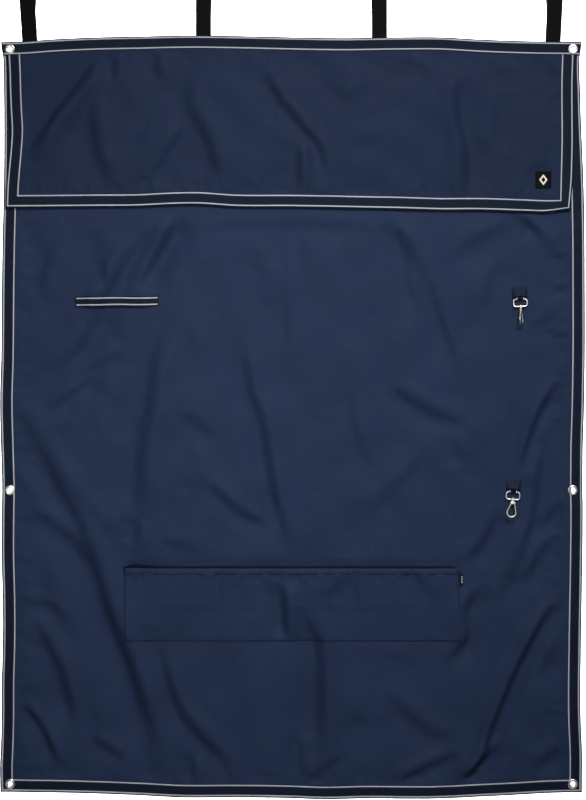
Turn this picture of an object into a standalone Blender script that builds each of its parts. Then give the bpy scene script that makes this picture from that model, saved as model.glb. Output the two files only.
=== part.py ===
"""Stable curtain: a hanging cloth panel with a top flap, pocket, keeper strip and snap hooks.

Metres, +Z up, +X to the right as seen from the front, the front faces -Y.
The origin is on the axis of the stall rail, midway between the four strap loops.
"""
from math import atan2, cos, pi, radians, sin

import bmesh
import bpy
from mathutils import Matrix, Vector

# Cloth panel, measured below the top edge ("hem")
WIDTH = 1.500
HEIGHT = 1.940
HEM_DROP = 0.125
TAPE_WIDTH = 0.034
PIPING_WIDTH = 0.0032
OUTER_PIPING_INSET = 0.0055
INNER_PIPING_INSET = 0.0312

# Thicknesses, and the gap kept between neighbouring pieces
GAP = 0.0003
MITRE_GAP = 0.0003
CLOTH = 0.0012
TAPE = 0.0008
PIPING = 0.0006
WEBBING = 0.0018
PAD = 0.0012

# Hanging straps
RAIL_CLEARANCE_RADIUS = 0.020
STRAP_WIDTH = 0.040
STRAP_SEWN_LENGTH = 0.060
STRAPS = {
    "strap_far_left": (-0.675, -4.0),
    "strap_inner_left": (-0.227, 0.0),
    "strap_inner_right": (0.227, 0.0),
    "strap_far_right": (0.675, 3.0),
}
TAIL_TOP = -0.0006
TAIL_BEND_END = -0.060
TAIL_END = -0.108
PAD_TOP = -0.062
PAD_END = -0.104

# Top flap
FLAP_HALF_WIDTH = 0.728
FLAP_BOTTOM = 0.434
FLAP_CLOTH_TOP = 0.0365
FLAP_TAPE_TOP = 0.0390
FLAP_HINGE_DROP = 0.0355

# Eyelets
EYELET_X = 0.725
EYELET_DROPS = {"top": 0.0245, "middle": 1.160, "bottom": 1.917}
EYELET_HOLE_RADIUS = 0.0059
EYELET_BARREL_RADIUS = 0.0064
EYELET_CUT_RADIUS = 0.0067
EYELET_FLANGE_RADIUS = 0.0124
EYELET_FLANGE = 0.0014
WASHER_THICKNESS = 0.0008
WASHER_BORE_RADIUS = 0.0080

# Pocket, a wedge that is deepest at its mouth
POCKET_LEFT = -0.431
POCKET_RIGHT = 0.433
POCKET_TOP = 1.357
POCKET_BOTTOM = 1.550
POCKET_DIVIDERS = (-0.186, 0.165)
POCKET_MOUTH_DEPTH = 0.012
POCKET_FOOT_DEPTH = 0.003
POCKET_DIVIDER_HALF = 0.0010
POCKET_HEM_HEIGHT = 0.015

# Keeper strip
KEEPER_LEFT = -0.557
KEEPER_RIGHT = -0.342
KEEPER_DROP = 0.674
KEEPER_WIDTH = 0.027
KEEPER_RISE = 0.0062
KEEPER_SEWN_END = 0.014
KEEPER_RAMP = 0.030

# Maker's badge and side label
BADGE_CENTRE = (0.6485, 0.361)
BADGE_SIZE = (0.0405, 0.044)
LABEL_LEFT = 0.4335
LABEL_RIGHT = 0.4415
LABEL_TOP = 1.376
LABEL_BOTTOM = 1.405

# Snap hooks: x, drop of the ring's top bar, tilt to the side, turn of the swivel
HOOKS = {
    "upper": (0.589, 0.6686, -2.4, 66.0),
    "lower": (0.571, 1.1650, 4.5, 0.0),
}
HOOK_LEAN = 10.0
RING_WIDTH = 0.038
RING_HEIGHT = 0.022
RING_WIRE = 0.0016
RING_CORNER = 0.006
BOSS_RADIUS = 0.0036
BOSS_HEIGHT = 0.0044
BOSS_BORE_RADIUS = 0.0019
LOOP_WIDTH = 0.024
LOOP_CLOTH = 0.0010
LOOP_LENGTH = 0.028
LOOP_STANDOFF = 0.0050
COVER_WIDTH = 0.034
COVER_HEIGHT = 0.028
COVER_FOOT = 0.004
HOOK_WIRE = 0.0017
HOOK_BOW_RADIUS = 0.0113
HOOK_BOW_CENTRE = (-0.0013, -0.0346)
HOOK_NOSE_ANGLE = 8.0
GATE_PIVOT = (0.0048, -0.0100)
GATE_WIRE = 0.0013
GATE_KNUCKLE_RADIUS = 0.0022
GATE_PIN_RADIUS = 0.0007
GATE_BORE_RADIUS = 0.0010

# Depths of the layers, from the straps at the back to the piping of the flap at the front
STRAP_FRONT = -(RAIL_CLEARANCE_RADIUS + WEBBING)
HEM_BACK = STRAP_FRONT - GAP
PANEL_BACK = HEM_BACK - TAPE - GAP
PANEL_FRONT = PANEL_BACK - CLOTH
SIDE_TAPE_FRONT = PANEL_FRONT - GAP - TAPE
SIDE_PIPING_BACK = SIDE_TAPE_FRONT - GAP
SIDE_PIPING_FRONT = SIDE_PIPING_BACK - PIPING
FLAP_TAPE_BACK = SIDE_PIPING_FRONT - GAP
FLAP_BACK = FLAP_TAPE_BACK - TAPE - GAP
FLAP_FRONT = FLAP_BACK - CLOTH
FLAP_TAPE_FRONT = FLAP_FRONT - GAP - TAPE
FLAP_PIPING_BACK = FLAP_TAPE_FRONT - GAP
FLAP_PIPING_FRONT = FLAP_PIPING_BACK - PIPING
FLAP_HINGE_Y = FLAP_PIPING_FRONT - 0.001

HALF = WIDTH / 2
HEM_Z = -HEM_DROP
FOOT_Z = HEM_Z - HEIGHT
ROUND_SIDES = 24

# Finishes: colour, roughness, metallic
FINISHES = {
    "navy_cloth": ((0.022, 0.034, 0.072), 0.62, 0.0),
    "navy_tape": ((0.012, 0.017, 0.036), 0.80, 0.0),
    "light_piping": ((0.31, 0.33, 0.40), 0.55, 0.0),
    "black_webbing": ((0.006, 0.006, 0.006), 0.70, 0.0),
    "hook_tape": ((0.008, 0.008, 0.009), 0.95, 0.0),
    "nickel": ((0.72, 0.70, 0.67), 0.22, 1.0),
    "badge_rubber": ((0.007, 0.007, 0.008), 0.50, 0.0),
    "label_satin": ((0.02, 0.02, 0.024), 0.40, 0.0),
}


def clear_scene():
    """Removes every object that the file opened with."""
    for old in list(bpy.data.objects):
        bpy.data.objects.remove(old, do_unlink=True)


def finish(name):
    """Returns the named material, made the first time it is asked for."""
    found = bpy.data.materials.get(name)
    if found:
        return found
    colour, roughness, metallic = FINISHES[name]
    made = bpy.data.materials.new(name)
    made.use_nodes = True
    shader = made.node_tree.nodes["Principled BSDF"]
    shader.inputs["Base Color"].default_value = (*colour, 1.0)
    shader.inputs["Roughness"].default_value = roughness
    shader.inputs["Metallic"].default_value = metallic
    return made


def add(name, mesh, finish_name, parent=None):
    """Puts a mesh in the scene as one named object."""
    made = bpy.data.objects.new(name, mesh)
    bpy.context.collection.objects.link(made)
    if finish_name:
        mesh.materials.clear()
        mesh.materials.append(finish(finish_name))
    made.parent = parent
    return made


def empty(name, location, parent=None, turn=(0.0, 0.0, 0.0)):
    """An empty that marks a joint or carries a group of pieces."""
    made = bpy.data.objects.new(name, None)
    bpy.context.collection.objects.link(made)
    made.parent = parent
    made.location = location
    made.rotation_euler = turn
    return made


def to_mesh(bm, name):
    """Makes the faces point outwards and returns the finished mesh."""
    bmesh.ops.recalc_face_normals(bm, faces=bm.faces)
    mesh = bpy.data.meshes.new(name)
    bm.to_mesh(mesh)
    bm.free()
    return mesh


def prism(name, outline, along, start, end):
    """A flat outline pushed along one axis; the outline lists the two other coordinates in order."""
    bm = bmesh.new()
    corners = []
    for first, second in outline:
        corner = [first, second]
        corner.insert(along, start)
        corners.append(bm.verts.new(corner))
    bm.faces.new(corners)
    pushed = bmesh.ops.extrude_face_region(bm, geom=bm.faces[:])
    shift = [0.0, 0.0, 0.0]
    shift[along] = end - start
    moved = [item for item in pushed["geom"] if isinstance(item, bmesh.types.BMVert)]
    bmesh.ops.translate(bm, verts=moved, vec=shift)
    return to_mesh(bm, name)


def box(name, low, high):
    """A plain box between two corners."""
    outline = [(low[0], low[1]), (high[0], low[1]), (high[0], high[1]), (low[0], high[1])]
    return prism(name, outline, 2, low[2], high[2])


def cylinder(name, radius, start, end, sides=ROUND_SIDES):
    """A round rod between two points."""
    start = Vector(start)
    reach = Vector(end) - start
    bm = bmesh.new()
    bmesh.ops.create_cone(
        bm, cap_ends=True, segments=sides, radius1=radius, radius2=radius, depth=reach.length
    )
    turn = Vector((0, 0, 1)).rotation_difference(reach).to_matrix().to_4x4()
    bmesh.ops.transform(bm, matrix=Matrix.Translation(start + reach / 2) @ turn, verts=bm.verts)
    return to_mesh(bm, name)


def turned(name, profile, sides=ROUND_SIDES):
    """A closed profile of (radius, y) points spun round the Y axis."""
    bm = bmesh.new()
    corners = [bm.verts.new((radius, y, 0.0)) for radius, y in profile]
    edges = [bm.edges.new((corners[i - 1], corners[i])) for i in range(len(corners))]
    bmesh.ops.spin(
        bm, geom=corners + edges, cent=(0, 0, 0), axis=(0, 1, 0), angle=2 * pi, steps=sides, use_merge=True
    )
    bmesh.ops.remove_doubles(bm, verts=bm.verts, dist=1e-6)
    return to_mesh(bm, name)


def ribbon(path, thickness):
    """The outline of a strap of even thickness that follows a centre line."""
    left, right = [], []
    for i, point in enumerate(path):
        before = Vector(path[max(i - 1, 0)])
        after = Vector(path[min(i + 1, len(path) - 1)])
        way = (after - before).normalized()
        side = Vector((-way.y, way.x)) * thickness / 2
        left.append(tuple(Vector(point) + side))
        right.append(tuple(Vector(point) - side))
    return left + right[::-1]


def wire(name, points, radius, closed=False, resolution=3):
    """A bent wire along a centre line, as a filled tube."""
    curve = bpy.data.curves.new(name, "CURVE")
    curve.dimensions = "3D"
    curve.bevel_depth = radius
    curve.bevel_resolution = resolution
    curve.use_fill_caps = True
    spline = curve.splines.new("POLY")
    spline.points.add(len(points) - 1)
    for slot, point in zip(spline.points, points):
        slot.co = (*point, 1.0)
    spline.use_cyclic_u = closed
    holder = bpy.data.objects.new(name, curve)
    bpy.context.collection.objects.link(holder)
    graph = bpy.context.evaluated_depsgraph_get()
    mesh = bpy.data.meshes.new_from_object(holder.evaluated_get(graph))
    bpy.data.objects.remove(holder)
    bm = bmesh.new()
    bm.from_mesh(mesh)
    bmesh.ops.remove_doubles(bm, verts=bm.verts, dist=1e-6)
    return to_mesh(bm, name)


def combined(mesh, steps):
    """Joins shapes to a mesh or cuts them out of it, one after the other."""
    body = add("body_in_work", mesh, None)
    for action, other in steps:
        tool = add("tool_in_work", other, None)
        change = body.modifiers.new(action, "BOOLEAN")
        change.operation = action
        change.object = tool
        graph = bpy.context.evaluated_depsgraph_get()
        body.data = bpy.data.meshes.new_from_object(body.evaluated_get(graph))
        body.modifiers.clear()
        bpy.data.objects.remove(tool)
    result = body.data
    bpy.data.objects.remove(body)
    return result


def smooth(mesh, angle=35.0):
    """Shades round faces smooth and leaves true corners sharp."""
    mesh.shade_smooth()
    mesh.set_sharp_from_angle(angle=radians(angle))
    return mesh


def cutter(name, mesh):
    """An object that only cuts, and is left out of the part."""
    made = add(name, mesh, None)
    made.hide_render = True
    made.display_type = "WIRE"
    return made


def cut_with(target, tools):
    """Leaves live cuts on an object."""
    for tool in tools:
        change = target.modifiers.new(tool.name, "BOOLEAN")
        change.operation = "DIFFERENCE"
        change.object = tool


def ease(share):
    """A smooth step from 0 to 1."""
    share = min(max(share, 0.0), 1.0)
    return share * share * (3 - 2 * share)


def eyelet_places():
    """Names and centres of the six eyelets."""
    for row, drop in EYELET_DROPS.items():
        for side, sign in (("left", -1), ("right", 1)):
            yield f"{row}_{side}", sign * EYELET_X, HEM_Z - drop


def eyelet_cutters():
    """Round cutters for the holes that the eyelets are set in."""
    made = {}
    for name, x, z in eyelet_places():
        rod = cylinder(f"cut_{name}", EYELET_CUT_RADIUS, (x, HEM_BACK + 0.01, z), (x, HEM_BACK - 0.03, z))
        made[name] = cutter(f"cut_{name}", rod)
    return made


def make_panel(holes):
    """The main cloth, a little smaller than the folded tapes that bind it."""
    edge = TAPE + GAP
    low = (-HALF + edge, PANEL_FRONT, FOOT_Z + edge)
    high = (HALF - edge, PANEL_BACK, HEM_Z - edge)
    cut_with(add("main_panel", box("main_panel", low, high), "navy_cloth"), holes.values())


def make_bindings(holes):
    """Tapes folded over the four edges, mitred at the bottom corners."""
    side_slot = cutter(
        "cut_side_fold",
        box(
            "cut_side_fold",
            (-HALF + TAPE, PANEL_FRONT - GAP, FOOT_Z + TAPE),
            (HALF - TAPE, PANEL_BACK + GAP, HEM_Z),
        ),
    )
    top_slot = cutter(
        "cut_top_fold",
        box(
            "cut_top_fold",
            (-HALF + TAPE, FLAP_FRONT - GAP, HEM_Z - 2 * TAPE_WIDTH),
            (HALF - TAPE, PANEL_BACK + GAP, HEM_Z - TAPE),
        ),
    )
    top_outline = [
        (-HALF, HEM_Z),
        (HALF, HEM_Z),
        (HALF, HEM_Z - TAPE_WIDTH),
        (-HALF, HEM_Z - TAPE_WIDTH),
    ]
    top = add("top_binding", prism("top_binding", top_outline, 1, HEM_BACK, FLAP_TAPE_FRONT), "navy_tape")
    cut_with(top, [top_slot, holes["top_left"], holes["top_right"]])
    side_top = HEM_Z - TAPE_WIDTH - GAP
    for side, sign in (("left", -1), ("right", 1)):
        name = f"{side}_binding"
        outline = [
            (sign * HALF, side_top),
            (sign * HALF, FOOT_Z + MITRE_GAP),
            (sign * (HALF - TAPE_WIDTH), FOOT_Z + TAPE_WIDTH + MITRE_GAP),
            (sign * (HALF - TAPE_WIDTH), side_top),
        ]
        tape = add(name, prism(name, outline, 1, HEM_BACK, SIDE_TAPE_FRONT), "navy_tape")
        cut_with(tape, [side_slot] + [holes[f"{row}_{side}"] for row in EYELET_DROPS])
    bottom_outline = [
        (-HALF + MITRE_GAP, FOOT_Z),
        (HALF - MITRE_GAP, FOOT_Z),
        (HALF - TAPE_WIDTH - MITRE_GAP, FOOT_Z + TAPE_WIDTH),
        (-HALF + TAPE_WIDTH + MITRE_GAP, FOOT_Z + TAPE_WIDTH),
    ]
    bottom_mesh = prism("bottom_binding", bottom_outline, 1, HEM_BACK, SIDE_TAPE_FRONT)
    bottom = add("bottom_binding", bottom_mesh, "navy_tape")
    cut_with(bottom, [side_slot, holes["bottom_left"], holes["bottom_right"]])


def u_outline(half_width, top, bottom, band):
    """A strip that runs down one side, along the bottom and up the other side."""
    return [
        (-half_width, top),
        (-half_width, bottom),
        (half_width, bottom),
        (half_width, top),
        (half_width - band, top),
        (half_width - band, bottom + band),
        (-half_width + band, bottom + band),
        (-half_width + band, top),
    ]


def make_piping(holes):
    """The light lines that run along both edges of the tapes of the main panel."""
    for place, inset in (("outer", OUTER_PIPING_INSET), ("inner", INNER_PIPING_INSET)):
        near = inset - PIPING_WIDTH / 2
        name = f"top_{place}_piping"
        low = (-HALF, FLAP_PIPING_FRONT, HEM_Z - near - PIPING_WIDTH)
        high = (HALF, FLAP_PIPING_BACK, HEM_Z - near)
        top = add(name, box(name, low, high), "light_piping")
        cut_with(top, [holes["top_left"], holes["top_right"]])
        name = f"side_{place}_piping"
        outline = u_outline(HALF - near, HEM_Z - TAPE_WIDTH - GAP, FOOT_Z + near, PIPING_WIDTH)
        side = prism(name, outline, 1, SIDE_PIPING_BACK, SIDE_PIPING_FRONT)
        cut_with(add(name, side, "light_piping"), holes.values())


def make_flap():
    """The flap that hangs from the top tape, in its own frame on its fold line."""
    hinge = empty("flap_hinge", (0.0, FLAP_HINGE_Y, HEM_Z - FLAP_HINGE_DROP))

    def local(mesh):
        mesh.transform(Matrix.Translation(-hinge.location))
        return mesh

    edge = TAPE + GAP
    foot = HEM_Z - FLAP_BOTTOM
    low = (-FLAP_HALF_WIDTH + edge, FLAP_FRONT, foot + edge)
    high = (FLAP_HALF_WIDTH - edge, FLAP_BACK, HEM_Z - FLAP_CLOTH_TOP)
    add("flap_panel", local(box("flap_panel", low, high)), "navy_cloth", hinge)
    slot_low = (-FLAP_HALF_WIDTH + TAPE, FLAP_FRONT - GAP, foot + TAPE)
    slot_high = (FLAP_HALF_WIDTH - TAPE, FLAP_BACK + GAP, HEM_Z)
    slot = cutter("cut_flap_fold", box("cut_flap_fold", slot_low, slot_high))
    slot.data.transform(Matrix.Translation(-hinge.location))
    slot.parent = hinge
    tape_top = HEM_Z - FLAP_TAPE_TOP
    for side, sign in (("left", -1), ("right", 1)):
        name = f"flap_{side}_binding"
        outline = [
            (sign * FLAP_HALF_WIDTH, tape_top),
            (sign * FLAP_HALF_WIDTH, foot + MITRE_GAP),
            (sign * (FLAP_HALF_WIDTH - TAPE_WIDTH), foot + TAPE_WIDTH + MITRE_GAP),
            (sign * (FLAP_HALF_WIDTH - TAPE_WIDTH), tape_top),
        ]
        tape = prism(name, outline, 1, FLAP_TAPE_BACK, FLAP_TAPE_FRONT)
        cut_with(add(name, local(tape), "navy_tape", hinge), [slot])
    outline = [
        (-FLAP_HALF_WIDTH + MITRE_GAP, foot),
        (FLAP_HALF_WIDTH - MITRE_GAP, foot),
        (FLAP_HALF_WIDTH - TAPE_WIDTH - MITRE_GAP, foot + TAPE_WIDTH),
        (-FLAP_HALF_WIDTH + TAPE_WIDTH + MITRE_GAP, foot + TAPE_WIDTH),
    ]
    tape = prism("flap_bottom_binding", outline, 1, FLAP_TAPE_BACK, FLAP_TAPE_FRONT)
    cut_with(add("flap_bottom_binding", local(tape), "navy_tape", hinge), [slot])
    for place, inset in (("outer", OUTER_PIPING_INSET), ("inner", INNER_PIPING_INSET)):
        near = inset - PIPING_WIDTH / 2
        name = f"flap_{place}_piping"
        outline = u_outline(FLAP_HALF_WIDTH - near, tape_top, foot + near, PIPING_WIDTH)
        piping = prism(name, outline, 1, FLAP_PIPING_BACK, FLAP_PIPING_FRONT)
        add(name, local(piping), "light_piping", hinge)
    centre_x, drop = BADGE_CENTRE
    low = (centre_x - BADGE_SIZE[0] / 2, FLAP_FRONT - GAP - PAD, HEM_Z - drop - BADGE_SIZE[1] / 2)
    high = (centre_x + BADGE_SIZE[0] / 2, FLAP_FRONT - GAP, HEM_Z - drop + BADGE_SIZE[1] / 2)
    add("maker_badge", local(box("maker_badge", low, high)), "badge_rubber", hinge)


def make_eyelets():
    """Six two-piece eyelets: a flanged barrel from the front and a flat washer at the back."""
    for name, x, z in eyelet_places():
        front = FLAP_PIPING_FRONT if name.startswith("top") else SIDE_PIPING_FRONT
        seat = front - GAP
        washer_front = HEM_BACK + GAP
        roll = washer_front + WASHER_THICKNESS + GAP
        profile = [
            (EYELET_HOLE_RADIUS, roll),
            (EYELET_HOLE_RADIUS, seat - EYELET_FLANGE * 0.6),
            (EYELET_HOLE_RADIUS + 0.0010, seat - EYELET_FLANGE * 0.95),
            (EYELET_HOLE_RADIUS + 0.0025, seat - EYELET_FLANGE),
            (EYELET_FLANGE_RADIUS - 0.0020, seat - EYELET_FLANGE * 0.85),
            (EYELET_FLANGE_RADIUS - 0.0005, seat - EYELET_FLANGE * 0.45),
            (EYELET_FLANGE_RADIUS, seat),
            (EYELET_BARREL_RADIUS, seat),
            (EYELET_BARREL_RADIUS, roll),
        ]
        eyelet = add(f"eyelet_{name}", smooth(turned(f"eyelet_{name}", profile)), "nickel")
        eyelet.location = (x, 0.0, z)
        ring = [
            (WASHER_BORE_RADIUS, washer_front),
            (EYELET_FLANGE_RADIUS - 0.0004, washer_front),
            (EYELET_FLANGE_RADIUS - 0.0004, washer_front + WASHER_THICKNESS),
            (WASHER_BORE_RADIUS, washer_front + WASHER_THICKNESS),
        ]
        washer = add(f"eyelet_washer_{name}", smooth(turned("eyelet_washer", ring)), "nickel")
        washer.location = (x, 0.0, z)


def make_pocket():
    """A shallow pouch in three compartments, closed behind by the main panel."""
    top = HEM_Z - POCKET_TOP
    foot = HEM_Z - POCKET_BOTTOM
    back = PANEL_FRONT - GAP
    slope = (POCKET_MOUTH_DEPTH - POCKET_FOOT_DEPTH) / (top - foot)

    def wall(z, extra=0.0):
        return back - POCKET_FOOT_DEPTH - slope * (z - foot) - extra

    outer = [(back, foot), (wall(foot, CLOTH), foot), (wall(top, CLOTH), top), (back, top)]
    pouch = prism("pocket_pouch", outer, 0, POCKET_LEFT, POCKET_RIGHT)
    inside_foot = foot + CLOTH
    above = top + 0.010
    inner = [(back + 0.005, inside_foot), (wall(inside_foot), inside_foot), (wall(above), above)]
    inner.append((back + 0.005, above))
    stops = [POCKET_LEFT, *POCKET_DIVIDERS, POCKET_RIGHT]
    steps = []
    for left, right in zip(stops, stops[1:]):
        room = prism("room", inner, 0, left + POCKET_DIVIDER_HALF, right - POCKET_DIVIDER_HALF)
        steps.append(("DIFFERENCE", room))
    add("pocket_pouch", combined(pouch, steps), "navy_cloth")
    hem_foot = top - POCKET_HEM_HEIGHT
    near = CLOTH + GAP
    band = [
        (wall(hem_foot, near), hem_foot),
        (wall(hem_foot, near + TAPE), hem_foot),
        (wall(top, near + TAPE), top),
        (wall(top, near), top),
    ]
    add("pocket_hem", prism("pocket_hem", band, 0, POCKET_LEFT, POCKET_RIGHT), "navy_cloth")
    low = (LABEL_LEFT, back - 0.0030, HEM_Z - LABEL_BOTTOM)
    high = (LABEL_RIGHT, back - 0.0030 + PAD, HEM_Z - LABEL_TOP)
    add("side_label", box("side_label", low, high), "label_satin")


def make_keeper():
    """A tape sewn down at both ends and free in between, for a rolled or hung item."""
    seat = PANEL_FRONT - GAP - CLOTH / 2
    path = []
    steps = 48
    for i in range(steps + 1):
        x = KEEPER_LEFT + (KEEPER_RIGHT - KEEPER_LEFT) * i / steps
        from_end = min(x - KEEPER_LEFT, KEEPER_RIGHT - x) - KEEPER_SEWN_END
        path.append((x, seat - KEEPER_RISE * ease(from_end / KEEPER_RAMP)))
    centre = HEM_Z - KEEPER_DROP
    strip = prism("keeper_strip", ribbon(path, CLOTH), 2, centre - KEEPER_WIDTH / 2, centre + KEEPER_WIDTH / 2)
    add("keeper_strip", strip, "navy_tape")


def rounded_rectangle(width, height, radius, steps):
    """Corner arcs of a rectangle whose top edge is at z = 0."""
    points = []
    corners = ((1, 0, 90), (-1, 0, 180), (-1, -height, 270), (1, -height, 360))
    for side, level, last in corners:
        centre_x = side * (width / 2 - radius)
        centre_z = level - radius if level == 0 else level + radius
        for i in range(steps + 1):
            angle = radians(last - 90 + 90 * i / steps)
            points.append((centre_x + radius * cos(angle), 0.0, centre_z + radius * sin(angle)))
    return points


def hook_ring():
    """The rectangular wire ring with a bored boss in its lower bar."""
    width = RING_WIDTH - 2 * RING_WIRE
    height = RING_HEIGHT - 2 * RING_WIRE
    ring = wire("ring", rounded_rectangle(width, height, RING_CORNER, 4), RING_WIRE, closed=True)
    boss = cylinder("boss", BOSS_RADIUS, (0, 0, -height - BOSS_HEIGHT / 2), (0, 0, -height + BOSS_HEIGHT / 2))
    bore = cylinder("bore", BOSS_BORE_RADIUS, (0, 0, -height - 0.01), (0, 0, -height + 0.01))
    return smooth(combined(ring, [("UNION", boss), ("DIFFERENCE", bore)]))


def hook_body():
    """Rivet head, stem, forked shoulder and the bent spine of the snap hook, stem at the origin."""
    head_foot = BOSS_HEIGHT / 2 + GAP
    head = cylinder("head", 0.0029, (0, 0, head_foot), (0, 0, head_foot + 0.0016))
    stem = cylinder("stem", 0.0015, (0, 0, head_foot + 0.001), (0, 0, -BOSS_HEIGHT / 2 - 0.002))
    collar = cylinder("collar", 0.0033, (0, 0, -BOSS_HEIGHT / 2 - GAP), (0, 0, -0.0075))
    pivot_x, pivot_z = GATE_PIVOT
    shoulder_outline = [
        (-0.0042, -0.0060),
        (0.0042, -0.0060),
        (pivot_x + 0.0026, pivot_z + 0.0012),
        (pivot_x + 0.0026, pivot_z - 0.0016),
        (pivot_x, pivot_z - 0.0026),
        (-0.0048, pivot_z - 0.0026),
    ]
    shoulder = prism("shoulder", shoulder_outline, 1, -0.0030, 0.0030)
    slot = box("slot", (0.0017, -0.0016, -0.02), (0.02, 0.0016, 0.0))
    pin_hole = cylinder("pin_hole", GATE_BORE_RADIUS, (pivot_x, -0.01, pivot_z), (pivot_x, 0.01, pivot_z), 12)
    centre_x, centre_z = HOOK_BOW_CENTRE
    start = Vector((-0.0030, -0.0105))
    reach = Vector((centre_x, centre_z)) - start
    # the spine leaves the shoulder straight and touches the bow at this angle
    touch = atan2(-reach.y, -reach.x) + _tangent_angle(reach.length)
    last = 2 * pi + radians(HOOK_NOSE_ANGLE)
    points = [(start.x, 0.0, start.y)]
    steps = 18
    for i in range(steps + 1):
        angle = touch + (last - touch) * i / steps
        points.append((centre_x + HOOK_BOW_RADIUS * cos(angle), 0.0, centre_z + HOOK_BOW_RADIUS * sin(angle)))
    spine = wire("spine", points, HOOK_WIRE)
    steps = [("UNION", stem), ("UNION", collar), ("UNION", shoulder), ("DIFFERENCE", slot)]
    steps += [("DIFFERENCE", pin_hole), ("UNION", spine)]
    return smooth(combined(head, steps))


def _tangent_angle(distance):
    """Angle at the bow's centre between the start point and the tangent point."""
    return pi / 2 - atan2(HOOK_BOW_RADIUS, (distance**2 - HOOK_BOW_RADIUS**2) ** 0.5)


def gate_tip():
    """Where the gate's end closes on the nose of the hook, from the gate's pivot."""
    angle = radians(HOOK_NOSE_ANGLE)
    nose_x = HOOK_BOW_CENTRE[0] + HOOK_BOW_RADIUS * cos(angle)
    nose_z = HOOK_BOW_CENTRE[1] + HOOK_BOW_RADIUS * sin(angle)
    return nose_x - 0.0003 - GATE_PIVOT[0], nose_z + 0.0008 - GATE_PIVOT[1]


def hook_gate():
    """The springy gate wire with its knuckle, pivot at the origin."""
    tip_x, tip_z = gate_tip()
    knuckle = cylinder("knuckle", GATE_KNUCKLE_RADIUS, (0, -0.0013, 0), (0, 0.0013, 0), 16)
    rod = wire("rod", [(0.0006, 0, -0.0012), (tip_x, 0, tip_z)], GATE_WIRE)
    bore = cylinder("bore", GATE_BORE_RADIUS, (0, -0.01, 0), (0, 0.01, 0), 12)
    return smooth(combined(knuckle, [("UNION", rod), ("DIFFERENCE", bore)]))


def webbing_loop():
    """The piped tape that holds the ring's top bar, open at its sewn end."""
    inner = RING_WIRE + GAP + LOOP_CLOTH / 2
    path = [(inner, LOOP_LENGTH)]
    steps = 12
    for i in range(steps + 1):
        angle = -pi * i / steps
        path.append((inner * cos(angle), inner * sin(angle)))
    path.append((-inner, LOOP_LENGTH))
    return prism("loop", ribbon(path, LOOP_CLOTH), 0, -LOOP_WIDTH / 2, LOOP_WIDTH / 2)


def make_hooks():
    """Two snap hooks, each on a taped loop under a cloth cover."""
    for name, (x, drop, tilt, turn) in HOOKS.items():
        place = (x, PANEL_FRONT - LOOP_STANDOFF, HEM_Z - drop)
        holder = empty(f"{name}_hook_holder", place, turn=(0.0, radians(tilt), 0.0))
        add(f"{name}_hook_webbing_loop", webbing_loop(), "navy_tape", holder)
        front = -(RING_WIRE + 2 * GAP + LOOP_CLOTH)
        low = (-COVER_WIDTH / 2, front - CLOTH, COVER_FOOT)
        high = (COVER_WIDTH / 2, front, COVER_FOOT + COVER_HEIGHT)
        add(f"{name}_hook_cover", box("cover", low, high), "navy_cloth", holder)
        pivot = empty(f"{name}_ring_pivot", (0, 0, 0), holder, turn=(-radians(HOOK_LEAN), 0.0, 0.0))
        add(f"{name}_hook_ring", hook_ring(), "nickel", pivot)
        boss = (0.0, 0.0, -(RING_HEIGHT - 2 * RING_WIRE))
        swivel = empty(f"{name}_swivel", boss, pivot, turn=(0.0, 0.0, radians(turn)))
        add(f"{name}_hook_body", hook_body(), "nickel", swivel)
        hinge = empty(f"{name}_gate_hinge", (GATE_PIVOT[0], 0.0, GATE_PIVOT[1]), swivel)
        add(f"{name}_hook_gate", hook_gate(), "nickel", hinge)
        pin = smooth(cylinder("pin", GATE_PIN_RADIUS, (0, -0.0030, 0), (0, 0.0030, 0), 12))
        add(f"{name}_hook_gate_pin", pin, "nickel", hinge)


def strap_path():
    """Centre line of the strap: up the back of the hem and over the rail."""
    radius = RAIL_CLEARANCE_RADIUS + WEBBING / 2
    path = [(-radius, HEM_Z - STRAP_SEWN_LENGTH)]
    steps = 16
    for i in range(steps + 1):
        angle = pi - pi * i / steps
        path.append((radius * cos(angle), radius * sin(angle)))
    return path


def tail_path():
    """Centre line of the tail: from behind the rail forward to the strap, then straight down."""
    radius = RAIL_CLEARANCE_RADIUS + WEBBING / 2
    closed_y = -RAIL_CLEARANCE_RADIUS + 3 * GAP + 2 * PAD + WEBBING / 2
    path = []
    steps = 14
    for i in range(steps + 1):
        share = i / steps
        z = TAIL_TOP + (TAIL_BEND_END - TAIL_TOP) * share
        path.append((radius + (closed_y - radius) * ease(share), z))
    path.append((closed_y, TAIL_END))
    return path


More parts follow.
